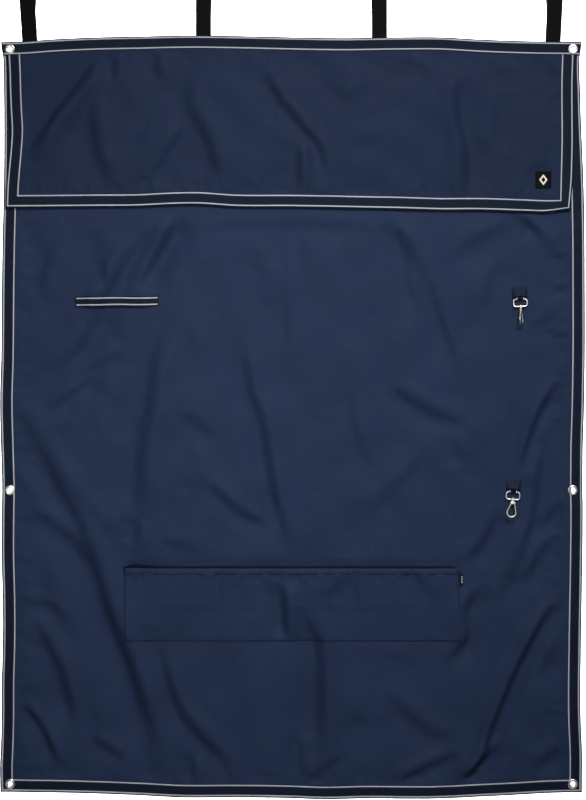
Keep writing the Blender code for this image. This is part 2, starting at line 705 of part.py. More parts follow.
def make_straps():
    """Four hanging straps, each with a tail that closes on itself with hook-and-loop tape."""
    half = STRAP_WIDTH / 2
    pad_half = half - 0.001
    # the tail folds on the strap's outer face, so its square end clears the strap
    tail_axis_y = RAIL_CLEARANCE_RADIUS + WEBBING + GAP
    for name, (hem_x, lean) in STRAPS.items():
        rail_x = hem_x + HEM_DROP * sin(radians(lean))
        frame = empty(f"{name}_line", (rail_x, 0.0, 0.0), turn=(0.0, radians(lean), 0.0))
        add(name, smooth(prism(name, ribbon(strap_path(), WEBBING), 0, -half, half)), "black_webbing", frame)
        front = -RAIL_CLEARANCE_RADIUS + GAP
        loop_pad = box("pad", (-pad_half, front, PAD_END), (pad_half, front + PAD, PAD_TOP))
        add(f"{name}_loop_pad", loop_pad, "hook_tape", frame)
        hinge = empty(f"{name}_tail_hinge", (0.0, tail_axis_y, 0.0), frame)
        shift = Matrix.Translation((0.0, -tail_axis_y, 0.0))
        tail = prism("tail", ribbon(tail_path(), WEBBING), 0, -half, half)
        tail.transform(shift)
        add(f"{name}_tail", smooth(tail), "black_webbing", hinge)
        front += PAD + GAP
        hook_pad = box("pad", (-pad_half, front, PAD_END), (pad_half, front + PAD, PAD_TOP))
        hook_pad.transform(shift)
        add(f"{name}_hook_pad", hook_pad, "hook_tape", hinge)


def main():
    clear_scene()
    holes = eyelet_cutters()
    make_panel(holes)
    make_bindings(holes)
    make_piping(holes)
    make_flap()
    make_eyelets()
    make_pocket()
    make_keeper()
    make_hooks()
    make_straps()


main()
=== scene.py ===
from math import atan2, cos, pi, radians, sin

import bpy
import numpy as np
from bpy.props import FloatProperty, FloatVectorProperty, IntProperty, PointerProperty
from bpy.types import Operator, Panel, PropertyGroup
from mathutils import Matrix, Vector


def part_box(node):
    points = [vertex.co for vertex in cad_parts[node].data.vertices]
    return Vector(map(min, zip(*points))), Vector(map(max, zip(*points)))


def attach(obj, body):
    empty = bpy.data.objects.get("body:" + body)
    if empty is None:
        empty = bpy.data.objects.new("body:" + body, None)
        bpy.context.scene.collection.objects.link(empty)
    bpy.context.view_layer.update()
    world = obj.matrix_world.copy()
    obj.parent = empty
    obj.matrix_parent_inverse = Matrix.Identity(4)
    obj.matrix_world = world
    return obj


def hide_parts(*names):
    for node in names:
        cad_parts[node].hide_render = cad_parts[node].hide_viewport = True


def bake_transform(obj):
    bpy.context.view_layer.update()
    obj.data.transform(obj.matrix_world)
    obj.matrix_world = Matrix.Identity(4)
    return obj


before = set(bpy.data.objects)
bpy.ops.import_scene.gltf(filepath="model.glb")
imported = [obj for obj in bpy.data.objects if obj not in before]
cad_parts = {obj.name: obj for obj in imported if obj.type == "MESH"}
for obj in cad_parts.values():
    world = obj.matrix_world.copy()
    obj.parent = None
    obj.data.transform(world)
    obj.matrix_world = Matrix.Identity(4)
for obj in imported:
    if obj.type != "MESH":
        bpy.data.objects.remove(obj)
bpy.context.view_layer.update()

bl_info = {
    "name": "Stable curtain",
    "version": (1, 0, 0),
    "blender": (4, 5, 0),
    "location": "View3D > Sidebar > Curtain",
    "description": "Builds a hanging stable curtain with its flap, pocket, hooks, eyelets and straps",
    "category": "Object",
}

# Sizes that follow the frame's own pieces
HEM_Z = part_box("top_binding")[1].z
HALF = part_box("top_binding")[1].x
HEIGHT = HEM_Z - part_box("bottom_binding")[0].z
TAPE_WIDTH = HEM_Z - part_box("top_binding")[0].z
FLAP_HALF = -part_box("flap_left_binding")[0].x
FLAP_BOTTOM = HEM_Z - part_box("flap_bottom_binding")[0].z
PANEL_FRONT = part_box("main_panel")[0].y
PANEL_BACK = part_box("main_panel")[1].y
HEM_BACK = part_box("left_binding")[1].y
SIDE_TAPE_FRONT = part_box("left_binding")[0].y
SIDE_PIPING_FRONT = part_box("side_outer_piping")[0].y
FLAP_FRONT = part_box("flap_panel")[0].y
FLAP_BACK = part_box("flap_panel")[1].y
FLAP_TAPE_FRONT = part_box("flap_left_binding")[0].y
FLAP_TAPE_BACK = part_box("flap_left_binding")[1].y
FLAP_PIPING_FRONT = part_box("flap_outer_piping")[0].y

# Thicknesses, insets from an edge, and places on the flap and the pocket, in metres
TAPE = 0.0008
GAP = 0.0003
OUTER_PIPING_INSET = 0.0055
INNER_PIPING_INSET = 0.0312
EYELET_CELL = 0.0066
CLOTH_INSET = 0.0011
FOLD_ROUND = 0.0009
FLAP_TUCK = 0.012
FLAP_TAPE_START = 0.0346
POCKET_DIVIDERS = (-0.186, 0.165)

EYELETS = {
    f"{row}_{side}": (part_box(f"eyelet_{row}_{side}")[0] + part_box(f"eyelet_{row}_{side}")[1]) / 2
    for row in ("top", "middle", "bottom")
    for side in ("left", "right")
}
BADGE = (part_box("maker_badge")[0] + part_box("maker_badge")[1]) / 2
STRAPS = {
    "strap_far_left": (-0.675, -4.0),
    "strap_inner_left": (-0.227, 0.0),
    "strap_inner_right": (0.227, 0.0),
    "strap_far_right": (0.675, 3.0),
}
HOOKS = {"upper": (0.589, 0.6686, -2.4, 66.0), "lower": (0.571, 1.1650, 4.5, 0.0)}
HOOK_LEAN = 10.0
# Snap hook, in the upright plane: the swivel below the ring's bar; then, from the swivel, the gate's pin and the bow
SWIVEL_DROP = 0.0188
GATE_PIN = (0.0048, -0.0100)
BOW_CENTRE, BOW_RADIUS, NOSE_ANGLE = (-0.0013, -0.0346), 0.0113, radians(8.0)

# How far each edge of the hanging cloth stands from a straight one: (place along the edge, shift), metres
TOP_WAVE = [(-0.75, 0.0055), (-0.71, 0.0045), (-0.60, -0.0025), (-0.49, -0.007), (-0.39, -0.009), (-0.28, -0.0115),
            (-0.13, -0.010), (0.0, -0.007), (0.13, -0.005), (0.28, -0.007), (0.38, -0.007), (0.49, -0.001),
            (0.60, 0.003), (0.75, 0.005)]
BOTTOM_WAVE = [(-0.75, -0.002), (-0.60, 0.0), (-0.49, 0.003), (-0.39, 0.007), (-0.29, 0.012), (-0.13, 0.012),
               (0.0, 0.014), (0.08, 0.017), (0.18, 0.015), (0.38, 0.015), (0.49, 0.010), (0.59, 0.005),
               (0.66, 0.001), (0.75, -0.001)]
LEFT_WAVE = [(0.0, 0.001), (0.034, 0.0058), (0.05, 0.007), (0.13, 0.0085), (0.34, 0.0085), (0.45, 0.0065),
             (0.62, 0.0035), (0.83, 0.0015), (0.93, -0.001), (1.03, 0.001), (1.11, 0.0035), (1.34, 0.0035),
             (1.44, 0.006), (1.56, 0.006), (1.65, 0.0035), (1.76, 0.003), (1.83, 0.001), (1.88, -0.001), (1.94, 0.0)]
RIGHT_WAVE = [(0.0, -0.002), (0.034, -0.006), (0.05, -0.007), (0.13, -0.005), (0.23, -0.002), (0.30, 0.001),
              (0.38, 0.004), (0.50, 0.006), (0.62, 0.0065), (0.85, 0.006), (0.95, 0.004), (1.05, 0.001), (1.25, 0.001),
              (1.40, -0.001), (1.55, -0.0035), (1.76, -0.004), (1.83, -0.001), (1.94, -0.001)]
FLAP_LEFT_WAVE = [(0.0, -0.003), (0.04, -0.0035), (0.08, -0.0015), (0.13, 0.0), (0.18, 0.002), (0.23, 0.0045),
                  (0.28, 0.002), (0.335, -0.003), (0.39, -0.007), (0.434, -0.008)]
FLAP_RIGHT_WAVE = [(0.0, 0.001), (0.04, 0.0015), (0.08, 0.0), (0.28, -0.0005), (0.335, -0.002), (0.39, -0.003),
                   (0.434, -0.004)]
FLAP_BOTTOM_WAVE = [(-0.728, 0.0), (-0.60, -0.001), (-0.49, -0.002), (-0.39, -0.003), (-0.31, -0.007), (-0.24, -0.008),
                    (-0.15, -0.002), (0.0, -0.001), (0.18, 0.002), (0.28, 0.004), (0.38, 0.007), (0.49, 0.007),
                    (0.60, 0.0105), (0.66, 0.0125), (0.70, 0.0125), (0.728, 0.012)]

# Creases of the cloth: points (across, below the hem), depth and half width in millimetres
FLAP_FOLDS = [
    ([(-0.51, 0.04), (-0.58, 0.13), (-0.635, 0.195), (-0.69, 0.285)], 11.5, 14),
    ([(-0.53, 0.13), (-0.52, 0.27), (-0.475, 0.39)], 4.5, 13),
    ([(-0.28, 0.10), (-0.28, 0.18), (-0.24, 0.26), (-0.20, 0.375)], 5.0, 14),
    ([(-0.25, 0.245), (-0.31, 0.31), (-0.35, 0.385)], 5.5, 14),
    ([(-0.08, 0.09), (-0.045, 0.155), (0.02, 0.23), (0.065, 0.285), (0.08, 0.35)], 5.0, 8),
    ([(0.01, 0.26), (0.01, 0.385)], 4.5, 9),
    ([(-0.05, 0.155), (-0.05, 0.22)], 2.5, 8),
    ([(0.44, 0.09), (0.44, 0.195), (0.46, 0.285), (0.46, 0.40)], 5.5, 11),
    ([(0.545, 0.13), (0.535, 0.285)], 2.8, 15),
    ([(-0.47, 0.035), (-0.465, 0.105)], 2.8, 9),
    ([(-0.36, 0.035), (-0.355, 0.11)], 2.8, 9),
    ([(0.28, 0.05), (0.355, 0.115)], 2.2, 12),
    ([(0.20, 0.06), (0.20, 0.165)], 1.8, 14),
    ([(0.63, 0.045), (0.69, 0.115)], 3.2, 9),
    ([(0.15, 0.295), (0.24, 0.26)], 1.8, 14),
    ([(0.075, 0.115), (0.14, 0.18)], 1.8, 13),
    ([(-0.365, 0.205), (-0.40, 0.245), (-0.41, 0.295)], 2.4, 13),
]
PANEL_FOLDS = [
    ([(-0.275, 0.45), (-0.325, 0.54), (-0.385, 0.65)], 9.5, 12),
    ([(-0.34, 0.49), (-0.43, 0.605), (-0.475, 0.685), (-0.52, 0.785), (-0.62, 0.89)], 7.0, 16),
    ([(-0.495, 0.565), (-0.485, 0.64)], 4.0, 9),
    ([(-0.33, 0.72), (-0.37, 0.825), (-0.385, 0.95), (-0.405, 1.045), (-0.41, 1.24)], 8.0, 17),
    ([(-0.405, 1.235), (-0.415, 1.30)], 5.0, 10),
    ([(-0.24, 0.497), (-0.12, 0.482), (0.0, 0.478), (0.12, 0.483), (0.24, 0.496)], 4.0, 12),
    ([(0.235, 0.46), (0.28, 0.54), (0.29, 0.63), (0.32, 0.72)], 5.0, 12),
    ([(0.28, 0.50), (0.345, 0.645), (0.395, 0.785), (0.42, 0.865)], 4.5, 12),
    ([(-0.14, 0.77), (-0.115, 0.915), (-0.09, 0.98), (-0.06, 1.145), (-0.03, 1.265), (-0.005, 1.345)], 6.0, 11),
    ([(-0.03, 0.51), (-0.03, 0.70), (-0.01, 0.80)], 1.8, 9),
    ([(0.24, 0.90), (0.345, 0.965), (0.445, 1.005)], 5.5, 12),
    ([(0.395, 1.02), (0.435, 1.095)], 3.5, 10),
    ([(0.125, 0.90), (0.15, 1.005), (0.19, 1.11)], 3.2, 13),
    ([(0.69, 0.88), (0.635, 0.99), (0.60, 1.11)], 9.5, 8),
    ([(0.705, 0.98), (0.66, 1.03), (0.647, 1.135), (0.615, 1.30), (0.54, 1.455)], 6.5, 11),
    ([(0.55, 1.20), (0.505, 1.30), (0.45, 1.355)], 6.0, 11),
    ([(0.68, 1.29), (0.60, 1.415)], 6.5, 12),
    ([(0.70, 1.20), (0.655, 1.26)], 4.5, 9),
    ([(0.50, 1.415), (0.46, 1.47), (0.46, 1.545), (0.41, 1.61)], 6.0, 10),
    ([(0.705, 1.45), (0.655, 1.505), (0.59, 1.625), (0.535, 1.75), (0.50, 1.84), (0.44, 1.905)], 9.5, 9),
    ([(0.55, 1.815), (0.485, 1.87), (0.44, 1.905)], 6.0, 9),
    ([(0.43, 1.835), (0.345, 1.87), (0.265, 1.905)], 4.5, 9),
    ([(0.23, 1.69), (0.345, 1.78), (0.42, 1.815)], 3.2, 12),
    ([(0.125, 1.75), (0.265, 1.78)], 3.5, 20),
    ([(0.02, 1.48), (0.055, 1.57), (0.06, 1.675), (0.06, 1.83)], 7.0, 15),
    ([(-0.035, 1.40), (-0.023, 1.545)], 7.5, 10),
    ([(-0.70, 0.98), (-0.62, 1.145), (-0.545, 1.29), (-0.495, 1.455), (-0.43, 1.625), (-0.38, 1.78), (-0.36, 1.88)],
     8.0, 15),
    ([(-0.675, 1.225), (-0.585, 1.29), (-0.53, 1.365)], 5.0, 12),
    ([(-0.635, 1.07), (-0.545, 1.20), (-0.43, 1.325)], 2.8, 12),
    ([(-0.675, 1.505), (-0.61, 1.625), (-0.57, 1.78)], 5.0, 12),
    ([(-0.70, 1.455), (-0.62, 1.47), (-0.60, 1.505)], 2.5, 9),
    ([(-0.70, 1.715), (-0.65, 1.78), (-0.61, 1.87)], 5.5, 8),
    ([(-0.35, 1.57), (-0.30, 1.725), (-0.195, 1.84), (-0.17, 1.895)], 5.0, 11),
    ([(-0.225, 1.145), (-0.135, 1.225), (-0.055, 1.263)], 4.0, 9),
    ([(-0.285, 0.98), (-0.195, 1.03)], 2.5, 11),
    ([(-0.34, 1.30), (-0.235, 1.333)], 2.4, 11),
    ([(0.37, 1.07), (0.255, 1.185), (0.20, 1.237)], 2.0, 13),
    ([(0.305, 1.365), (0.355, 1.455)], 2.5, 10),
    ([(0.15, 1.39), (0.10, 1.443)], 2.5, 10),
    ([(0.552, 0.438), (0.585, 0.456), (0.610, 0.476), (0.628, 0.502)], 9.0, 6),
    ([(0.585, 0.445), (0.635, 0.51), (0.69, 0.595)], 3.0, 9),
    ([(0.585, 0.465), (0.485, 0.53), (0.41, 0.58)], 2.4, 14),
    ([(0.56, 0.567), (0.525, 0.63), (0.505, 0.72)], 2.4, 12),
    ([(-0.63, 0.53), (-0.675, 0.655)], 4.0, 13),
    ([(-0.43, 0.81), (-0.56, 0.89)], 4.5, 12),
    ([(-0.495, 0.875), (-0.62, 0.965)], 4.5, 11),
    ([(-0.52, 1.805), (-0.43, 1.855)], 3.0, 8),
    ([(-0.262, 1.83), (-0.262, 1.905)], 3.0, 8),
    ([(0.705, 1.83), (0.63, 1.88)], 4.0, 10),
    ([(0.015, 1.78), (0.015, 1.88)], 3.0, 8),
    ([(0.14, 1.83), (0.05, 1.90)], 2.5, 9),
    ([(0.70, 0.70), (0.60, 0.76)], 2.0, 12),
    ([(0.70, 1.55), (0.64, 1.66)], 2.6, 12),
    ([(0.33, 1.62), (0.22, 1.60)], 1.8, 14),
    ([(-0.018, 0.44), (-0.012, 0.90), (0.004, 1.33)], 1.0, 4),
    ([(-0.36, 0.978), (-0.18, 0.980), (0.02, 0.976), (0.30, 0.979)], 0.35, 4),
    ([(-0.40, 1.466), (0.0, 1.470), (0.42, 1.467)], 0.35, 4),
]


# ---------------------------------------------------------------- settings

def colour(name, text, value):
    """A colour setting."""
    return FloatVectorProperty(name=name, description=text, default=value, size=3, min=0.0, max=1.0, subtype="COLOR")


def length(name, text, value):
    """A length setting, in metres."""
    return FloatProperty(name=name, description=text, default=value, min=0.0, unit="LENGTH")


class CurtainSizes(PropertyGroup):
    """Sizes of the curtain's pieces."""

    cell: length("Cloth cell", "Spacing of the cloth's mesh", 0.0080)
    tape_cell: length("Tape cell", "Spacing of a tape's mesh along its length", 0.0060)
    piping_width: length("Piping width", "Width of a light piping line", 0.0034)
    pocket_left: FloatProperty(name="Pocket left", description="Left seam of the pocket", default=-0.431, unit="LENGTH")
    pocket_right: length("Pocket right", "Right seam of the pocket", 0.433)
    pocket_top: length("Pocket top", "Mouth of the pocket, below the hem", 1.3625)
    pocket_bottom: length("Pocket bottom", "Foot seam of the pocket, below the hem", 1.550)
    pocket_gape: length("Pocket gape", "How far the mouth stands off the cloth", 0.0095)
    keeper_drop: length("Keeper drop", "Middle of the keeper strip, below the hem", 0.674)
    webbing_width: length("Webbing width", "Width of a hanging strap", 0.040)
    wire_radius: length("Hook wire", "Half the thickness of a snap hook's wire", 0.0017)
    ring_radius: length("Ring wire", "Half the thickness of a ring's wire", 0.0016)
    wire_sides: IntProperty(name="Wire sides", description="Sides of the round wires", default=18, min=8, max=48)


class CurtainColours(PropertyGroup):
    """Colours of the curtain's finishes."""

    cloth: colour("Cloth", "Woven navy cloth", (0.0150, 0.0267, 0.0640))
    tape: colour("Tape", "Dark binding tape", (0.0060, 0.0112, 0.0235))
    piping: colour("Piping", "Light lines on the tape", (0.43, 0.44, 0.52))
    webbing: colour("Webbing", "Black strap webbing", (0.0022, 0.0022, 0.0022))
    nickel: colour("Nickel", "Eyelets and washers", (0.80, 0.80, 0.79))
    hook_nickel: colour("Hook nickel", "Snap hooks", (0.74, 0.71, 0.60))
    ring_nickel: colour("Ring nickel", "Rings that carry the hooks", (0.84, 0.80, 0.79))
    badge: colour("Badge", "Ground of the badge", (0.0042, 0.0042, 0.0046))
    badge_mark: colour("Badge mark", "Woven mark of the badge", (0.74, 0.72, 0.64))


def sizes():
    """The size settings of this scene."""
    return bpy.context.scene.curtain_sizes


def colours():
    """The colour settings of this scene."""
    return bpy.context.scene.curtain_colours


# ---------------------------------------------------------------- finishes

class Signal:
    """A shader value that plain arithmetic works on."""

    def __init__(self, finish, socket):
        self.finish = finish
        self.socket = socket

    def maths(self, operation, *others):
        """A Math node on this value and others."""
        node = self.finish.node("ShaderNodeMath", {"operation": operation}, dict(enumerate([self, *others])))
        return Signal(self.finish, node.outputs[0])

    def __add__(self, other):
        return self.maths("ADD", other)

    def __sub__(self, other):
        return self.maths("SUBTRACT", other)

    def __mul__(self, other):
        return self.maths("MULTIPLY", other)

    def __truediv__(self, other):
        return self.maths("DIVIDE", other)

    def sine(self):
        """Sine of this value."""
        return self.maths("SINE")

    def size(self):
        """This value without its sign."""
        return self.maths("ABSOLUTE")

    def part(self):
        """What is left after the whole number."""
        return self.maths("FRACT")

    def below(self, limit):
        """1 where this value is under the limit."""
        return self.maths("LESS_THAN", limit)


class Finish:
    """A material whose nodes are added one by one."""

    def __init__(self, name, base, roughness, **constants):
        self.material = bpy.data.materials.new(name)
        self.material.use_nodes = True
        self.tree = self.material.node_tree
        self.shader = self.tree.nodes["Principled BSDF"]
        self.material.diffuse_color = (*base, 1.0)
        self.base = (*base, 1.0)
        self.set("Base Color", self.base)
        self.set("Roughness", roughness)
        for key, value in constants.items():
            self.set(key.replace("_", " "), value)

    def node(self, kind, settings=None, sockets=None):
        """A node of this kind: its settings first, then the values or links of its sockets."""
        made = self.tree.nodes.new(kind)
        for key, value in (settings or {}).items():
            setattr(made, key, value)
        for key, value in (sockets or {}).items():
            self.feed(made.inputs[key], value)
        return made

    def feed(self, socket, value):
        """Link or set one socket."""
        if isinstance(value, Signal):
            self.tree.links.new(value.socket, socket)
        elif isinstance(value, bpy.types.NodeSocket):
            self.tree.links.new(value, socket)
        else:
            socket.default_value = value

    def set(self, name, value):
        """Set or feed a socket of the shader."""
        self.feed(self.shader.inputs[name], value)

    def place(self):
        """The piece's own coordinates in space."""
        return self.node("ShaderNodeTexCoord").outputs["Object"]

    def along_across(self):
        """The cloth's own two lengths, in metres."""
        split = self.node("ShaderNodeSeparateXYZ", None, {0: self.node("ShaderNodeTexCoord").outputs["UV"]})
        return Signal(self, split.outputs[0]), Signal(self, split.outputs[1])

    def grain(self, scale, detail=2.0, roughness=0.5, source=None, stretch=None):
        """Noise of about this many features to the metre."""
        source = source or self.place()
        if stretch:
            source = self.node("ShaderNodeMapping", None, {0: source, "Scale": stretch}).outputs[0]
        made = self.node("ShaderNodeTexNoise", None,
                         {"Vector": source, "Scale": scale, "Detail": detail, "Roughness": roughness})
        return Signal(self, made.outputs["Fac"])

    def blend(self, factor, first, second):
        """A colour between two."""
        made = self.node("ShaderNodeMix", {"data_type": "RGBA"}, {0: factor, 6: first, 7: second})
        return made.outputs[2]

    def raise_surface(self, height, distance, strength=1.0, under=None):
        """A bump, over another where one is given."""
        sockets = {"Height": height, "Distance": distance, "Strength": strength}
        if under is not None:
            sockets["Normal"] = under
        return self.node("ShaderNodeBump", None, sockets).outputs["Normal"]


def tinted(base, share):
    """A colour made lighter or darker."""
    return (*[min(1.0, c * share) for c in base], 1.0)


def woven(along, across, pitch):
    """Height of a plain weave with this thread pitch."""
    one = (along * (2 * pi / pitch)).sine()
    two = (across * (2 * pi / pitch)).sine()
    return one * two * 0.5 + 0.5


def cloth_finish(name, share):
    """Navy polyester: fine weave, soft crinkle and a little sheen."""
    base = tinted(colours().cloth, share)[:3]
    finish = Finish(name, base, 0.60, Sheen_Weight=0.015, Sheen_Roughness=0.45,
                    Sheen_Tint=(0.45, 0.55, 0.95, 1.0), Specular_IOR_Level=0.05)
    along, across = finish.along_across()
    weave = woven(along, across, 0.0011)
    crinkle = finish.grain(34.0, 4.0, 0.55)
    soft = finish.grain(9.0, 2.0, 0.5, stretch=(1.0, 1.0, 0.6))
    tone = finish.grain(2.6, 3.0, 0.6)
    slub = finish.grain(1.0, 3.0, 0.6, stretch=(7.0, 7.0, 420.0))
    shade = tone * 0.55 + soft * 0.25 + slub * 0.2
    finish.set("Base Color", finish.blend(shade, tinted(base, 0.80), tinted(base, 1.22)))
    finish.set("Roughness", crinkle * 0.10 + soft * 0.08 + 0.50)
    under = finish.raise_surface(crinkle, 0.0028, 0.70)
    under = finish.raise_surface(soft, 0.0050, 0.45, under)
    under = finish.raise_surface(finish.grain(110.0, 3.0, 0.6), 0.0008, 0.6, under)
    finish.set("Normal", finish.raise_surface(weave, 0.00010, 0.5, under))
    return finish.material


def tape_finish():
    """Dark ribbed tape with a row of thread."""
    base = tuple(colours().tape)
    finish = Finish("navy binding tape", base, 0.55, Specular_IOR_Level=0.05)
    along, across = finish.along_across()
    ribs = (along * (2 * pi / 0.0016)).sine() * 0.5 + 0.5
    fibre = finish.grain(420.0, 2.0, 0.6)
    row = (across - 0.0272).size().below(0.0005) * (along / 0.0042).part().below(0.68)
    wear = finish.grain(7.0, 3.0, 0.6)
    shade = wear * 0.6 + fibre * 0.4
    ground = finish.blend(shade, tinted(base, 0.75), tinted(base, 1.35))
    finish.set("Base Color", finish.blend(row, ground, tinted(base, 2.1)))
    finish.set("Roughness", fibre * 0.16 + 0.47)
    height = ribs * 0.6 + fibre * 0.25 + row * 0.8
    finish.set("Normal", finish.raise_surface(height, 0.00022, 0.7))
    return finish.material


def piping_finish():
    """Light grey braid sewn on the tape."""
    base = tuple(colours().piping)
    finish = Finish("light piping", base, 0.5, Sheen_Weight=0.1)
    along, across = finish.along_across()
    twist = ((along + across * 0.7) * (2 * pi / 0.0019)).sine() * 0.5 + 0.5
    soil = finish.grain(14.0, 3.0, 0.6)
    ground = finish.blend(soil, tinted(base, 0.80), tinted(base, 1.15))
    finish.set("Base Color", finish.blend(twist * 0.35, ground, tinted(base, 0.62)))
    finish.set("Roughness", twist * 0.1 + 0.42)
    finish.set("Normal", finish.raise_surface(twist, 0.00025, 0.6))
    return finish.material


def webbing_finish():
    """Black webbing in a broken herringbone."""
    base = tuple(colours().webbing)
    finish = Finish("black webbing", base, 0.48, Specular_IOR_Level=0.04)
    along, across = finish.along_across()
    zig = (across / 0.010).part() - 0.5
    ribs = ((along + zig.size() * 0.010) * (2 * pi / 0.0022)).sine() * 0.5 + 0.5
    threads = (across * (2 * pi / 0.0011)).sine() * 0.5 + 0.5
    fluff = finish.grain(600.0, 2.0, 0.6)
    finish.set("Base Color", finish.blend(ribs * 0.5 + fluff * 0.5, tinted(base, 0.6), tinted(base, 1.9)))
    finish.set("Roughness", fluff * 0.18 + 0.40)
    finish.set("Normal", finish.raise_surface(ribs * 0.6 + threads * 0.3 + fluff * 0.2, 0.00030, 0.6))
    return finish.material


def fastener_finish(name, scale, distance):
    """Hook-and-loop tape: a mat of fine loops or rows of hooks."""
    base = (0.006, 0.006, 0.007)
    finish = Finish(name, base, 0.85, Sheen_Weight=0.06, Specular_IOR_Level=0.1)
    fuzz = finish.grain(scale, 3.0, 0.7)
    finish.set("Base Color", finish.blend(fuzz, tinted(base, 0.5), tinted(base, 3.0)))
    finish.set("Roughness", fuzz * 0.1 + 0.8)
    finish.set("Normal", finish.raise_surface(fuzz, distance, 1.0))
    return finish.material


def nickel_finish(name, base, roughness):
    """Plated metal with fine wear."""
    finish = Finish(name, tuple(base), roughness, Metallic=1.0)
    haze = finish.grain(260.0, 3.0, 0.6)
    rub = finish.grain(1500.0, 2.0, 0.5, stretch=(1.0, 1.0, 0.12))
    finish.set("Base Color", finish.blend(haze, tinted(base, 0.82), tinted(base, 1.12)))
    finish.set("Roughness", haze * 0.16 + rub * 0.10 + (roughness - 0.12))
    finish.set("Normal", finish.raise_surface(haze + rub * 0.3, 0.00005, 0.6))
    return finish.material


def woven_label_finish(name, base, pitch):
    """A flat woven finish, for labels and for the dark strips that carry painted shade."""
    finish = Finish(name, tuple(base), 0.62, Specular_IOR_Level=0.05)
    along, across = finish.along_across()
    weave = woven(along, across, pitch)
    dust = finish.grain(900.0, 2.0, 0.6)
    finish.set("Base Color", finish.blend(dust * 0.6 + weave * 0.4, tinted(base, 0.72), tinted(base, 1.25)))
    finish.set("Roughness", dust * 0.2 + 0.5)
    finish.set("Normal", finish.raise_surface(weave + dust * 0.3, 0.00008, 0.5))
    return finish.material


FINISHES = {}


def finish_of(name):
    """The material of this slot name, made when first asked for."""
    if name not in FINISHES:
        c = colours()
        makers = {
            "navy_cloth": lambda: cloth_finish("navy woven cloth", 1.0),
            # the flap's cloth is the same navy cloth at 0.80 of its brightness: painted shade
            "flap_cloth": lambda: cloth_finish("navy woven cloth of the flap, darkened as painted shade", 0.80),
            # the covers' cloth is the navy cloth at 0.62 of its brightness: painted shade for the shade under each
            # cover
            "cover_cloth_painted_shade": lambda: cloth_finish("navy woven cloth of the covers, darkened as painted shade", 0.62),
            "navy_tape": tape_finish,
            "light_piping": piping_finish,
            "black_webbing": webbing_finish,
            "loop_tape": lambda: fastener_finish("fastener loops", 1400.0, 0.0005),
            "hook_tape": lambda: fastener_finish("fastener hooks", 900.0, 0.0008),
            "nickel": lambda: nickel_finish("nickel of the eyelets", c.nickel, 0.30),
            "hook_nickel": lambda: nickel_finish("nickel of the snap hooks", c.hook_nickel, 0.36),
            "ring_nickel": lambda: nickel_finish("nickel of the rings", c.ring_nickel, 0.30),
            # the loop tape is far darker than the binding tape: painted shade for the shade under the hook covers
            "painted_shade_loop_tape": lambda: woven_label_finish("loop tape darkened as painted shade", (0.0030, 0.0040, 0.0085), 0.0011),
            "badge_ground": lambda: woven_label_finish("badge ground", c.badge, 0.0007),
            "badge_mark": lambda: woven_label_finish("badge mark", c.badge_mark, 0.0007),
            "label_ground": lambda: woven_label_finish("label ground", (0.006, 0.007, 0.012), 0.0006),
            "label_mark": lambda: woven_label_finish("label mark", (0.42, 0.43, 0.46), 0.0006),
            # the pocket's mouth strip is near-black: painted shade over the pocket's mouth
            "painted_mouth_shade": lambda: woven_label_finish("painted shade of the pocket mouth", (0.0015, 0.0038, 0.0110), 0.0011),
        }
        FINISHES[name] = makers[name]()
    return FINISHES[name]


# ---------------------------------------------------------------- shape of the hanging cloth

def smoothstep(low, high, value):
    """0 below low, 1 above high, smooth between."""
    share = np.clip((value - low) / (high - low), 0.0, 1.0)
    return share * share * (3 - 2 * share)


def wave(table, place):
    """A smooth line through a table of (place, shift)."""
    places = np.array([p for p, _ in table])
    shifts = np.array([s for _, s in table])
    slopes = np.gradient(shifts, places)
    place = np.clip(place, places[0], places[-1])
    i = np.clip(np.searchsorted(places, place) - 1, 0, len(places) - 2)
    span = places[i + 1] - places[i]
    t = (place - places[i]) / span
    return (
        (2 * t**3 - 3 * t**2 + 1) * shifts[i] + (t**3 - 2 * t**2 + t) * span * slopes[i]
        + (3 * t**2 - 2 * t**3) * shifts[i + 1] + (t**3 - t**2) * span * slopes[i + 1]
    )


def rounded_path(points, step=0.012):
    """Points close together on a smooth curve through the given ones."""
    p = np.array(points, float)
    if len(p) == 2:
        return p[0] + (p[1] - p[0]) * np.linspace(0, 1, max(3, int(np.linalg.norm(p[1] - p[0]) / step)))[:, None]
    ends = np.vstack([2 * p[0] - p[1], p, 2 * p[-1] - p[-2]])
    out = []
    for a, b, c, d in zip(ends[:-3], ends[1:-2], ends[2:-1], ends[3:]):
        n = max(2, int(np.linalg.norm(c - b) / step))
        t = np.linspace(0, 1, n, endpoint=False)[:, None]
        out.append(0.5 * (2 * b + (c - a) * t + (2 * a - 5 * b + 4 * c - d) * t**2 + (3 * b - a - 3 * c + d) * t**3))
    return np.vstack([*out, p[-1:]])


def seam_puckers(seed, along, fixed, count, reach, depth, upright):
    """Short creases that run out from a seam, as gathered stitching makes them."""
    rng = np.random.default_rng(seed)
    low, high = along
    made = []
    for place in np.linspace(low, high, count) + rng.uniform(-0.4, 0.4, count) * (high - low) / count:
        out = reach * rng.uniform(0.5, 1.3)
        slant = rng.uniform(-0.6, 0.6) * abs(out)
        size = depth * rng.uniform(0.6, 2.0)
        start, end = (fixed, place), (fixed + out, place + slant)
        if upright:
            start, end = (place, fixed), (place + slant, fixed + out)
        made.append(([start, end], size, rng.uniform(4.5, 8.5)))
    return made


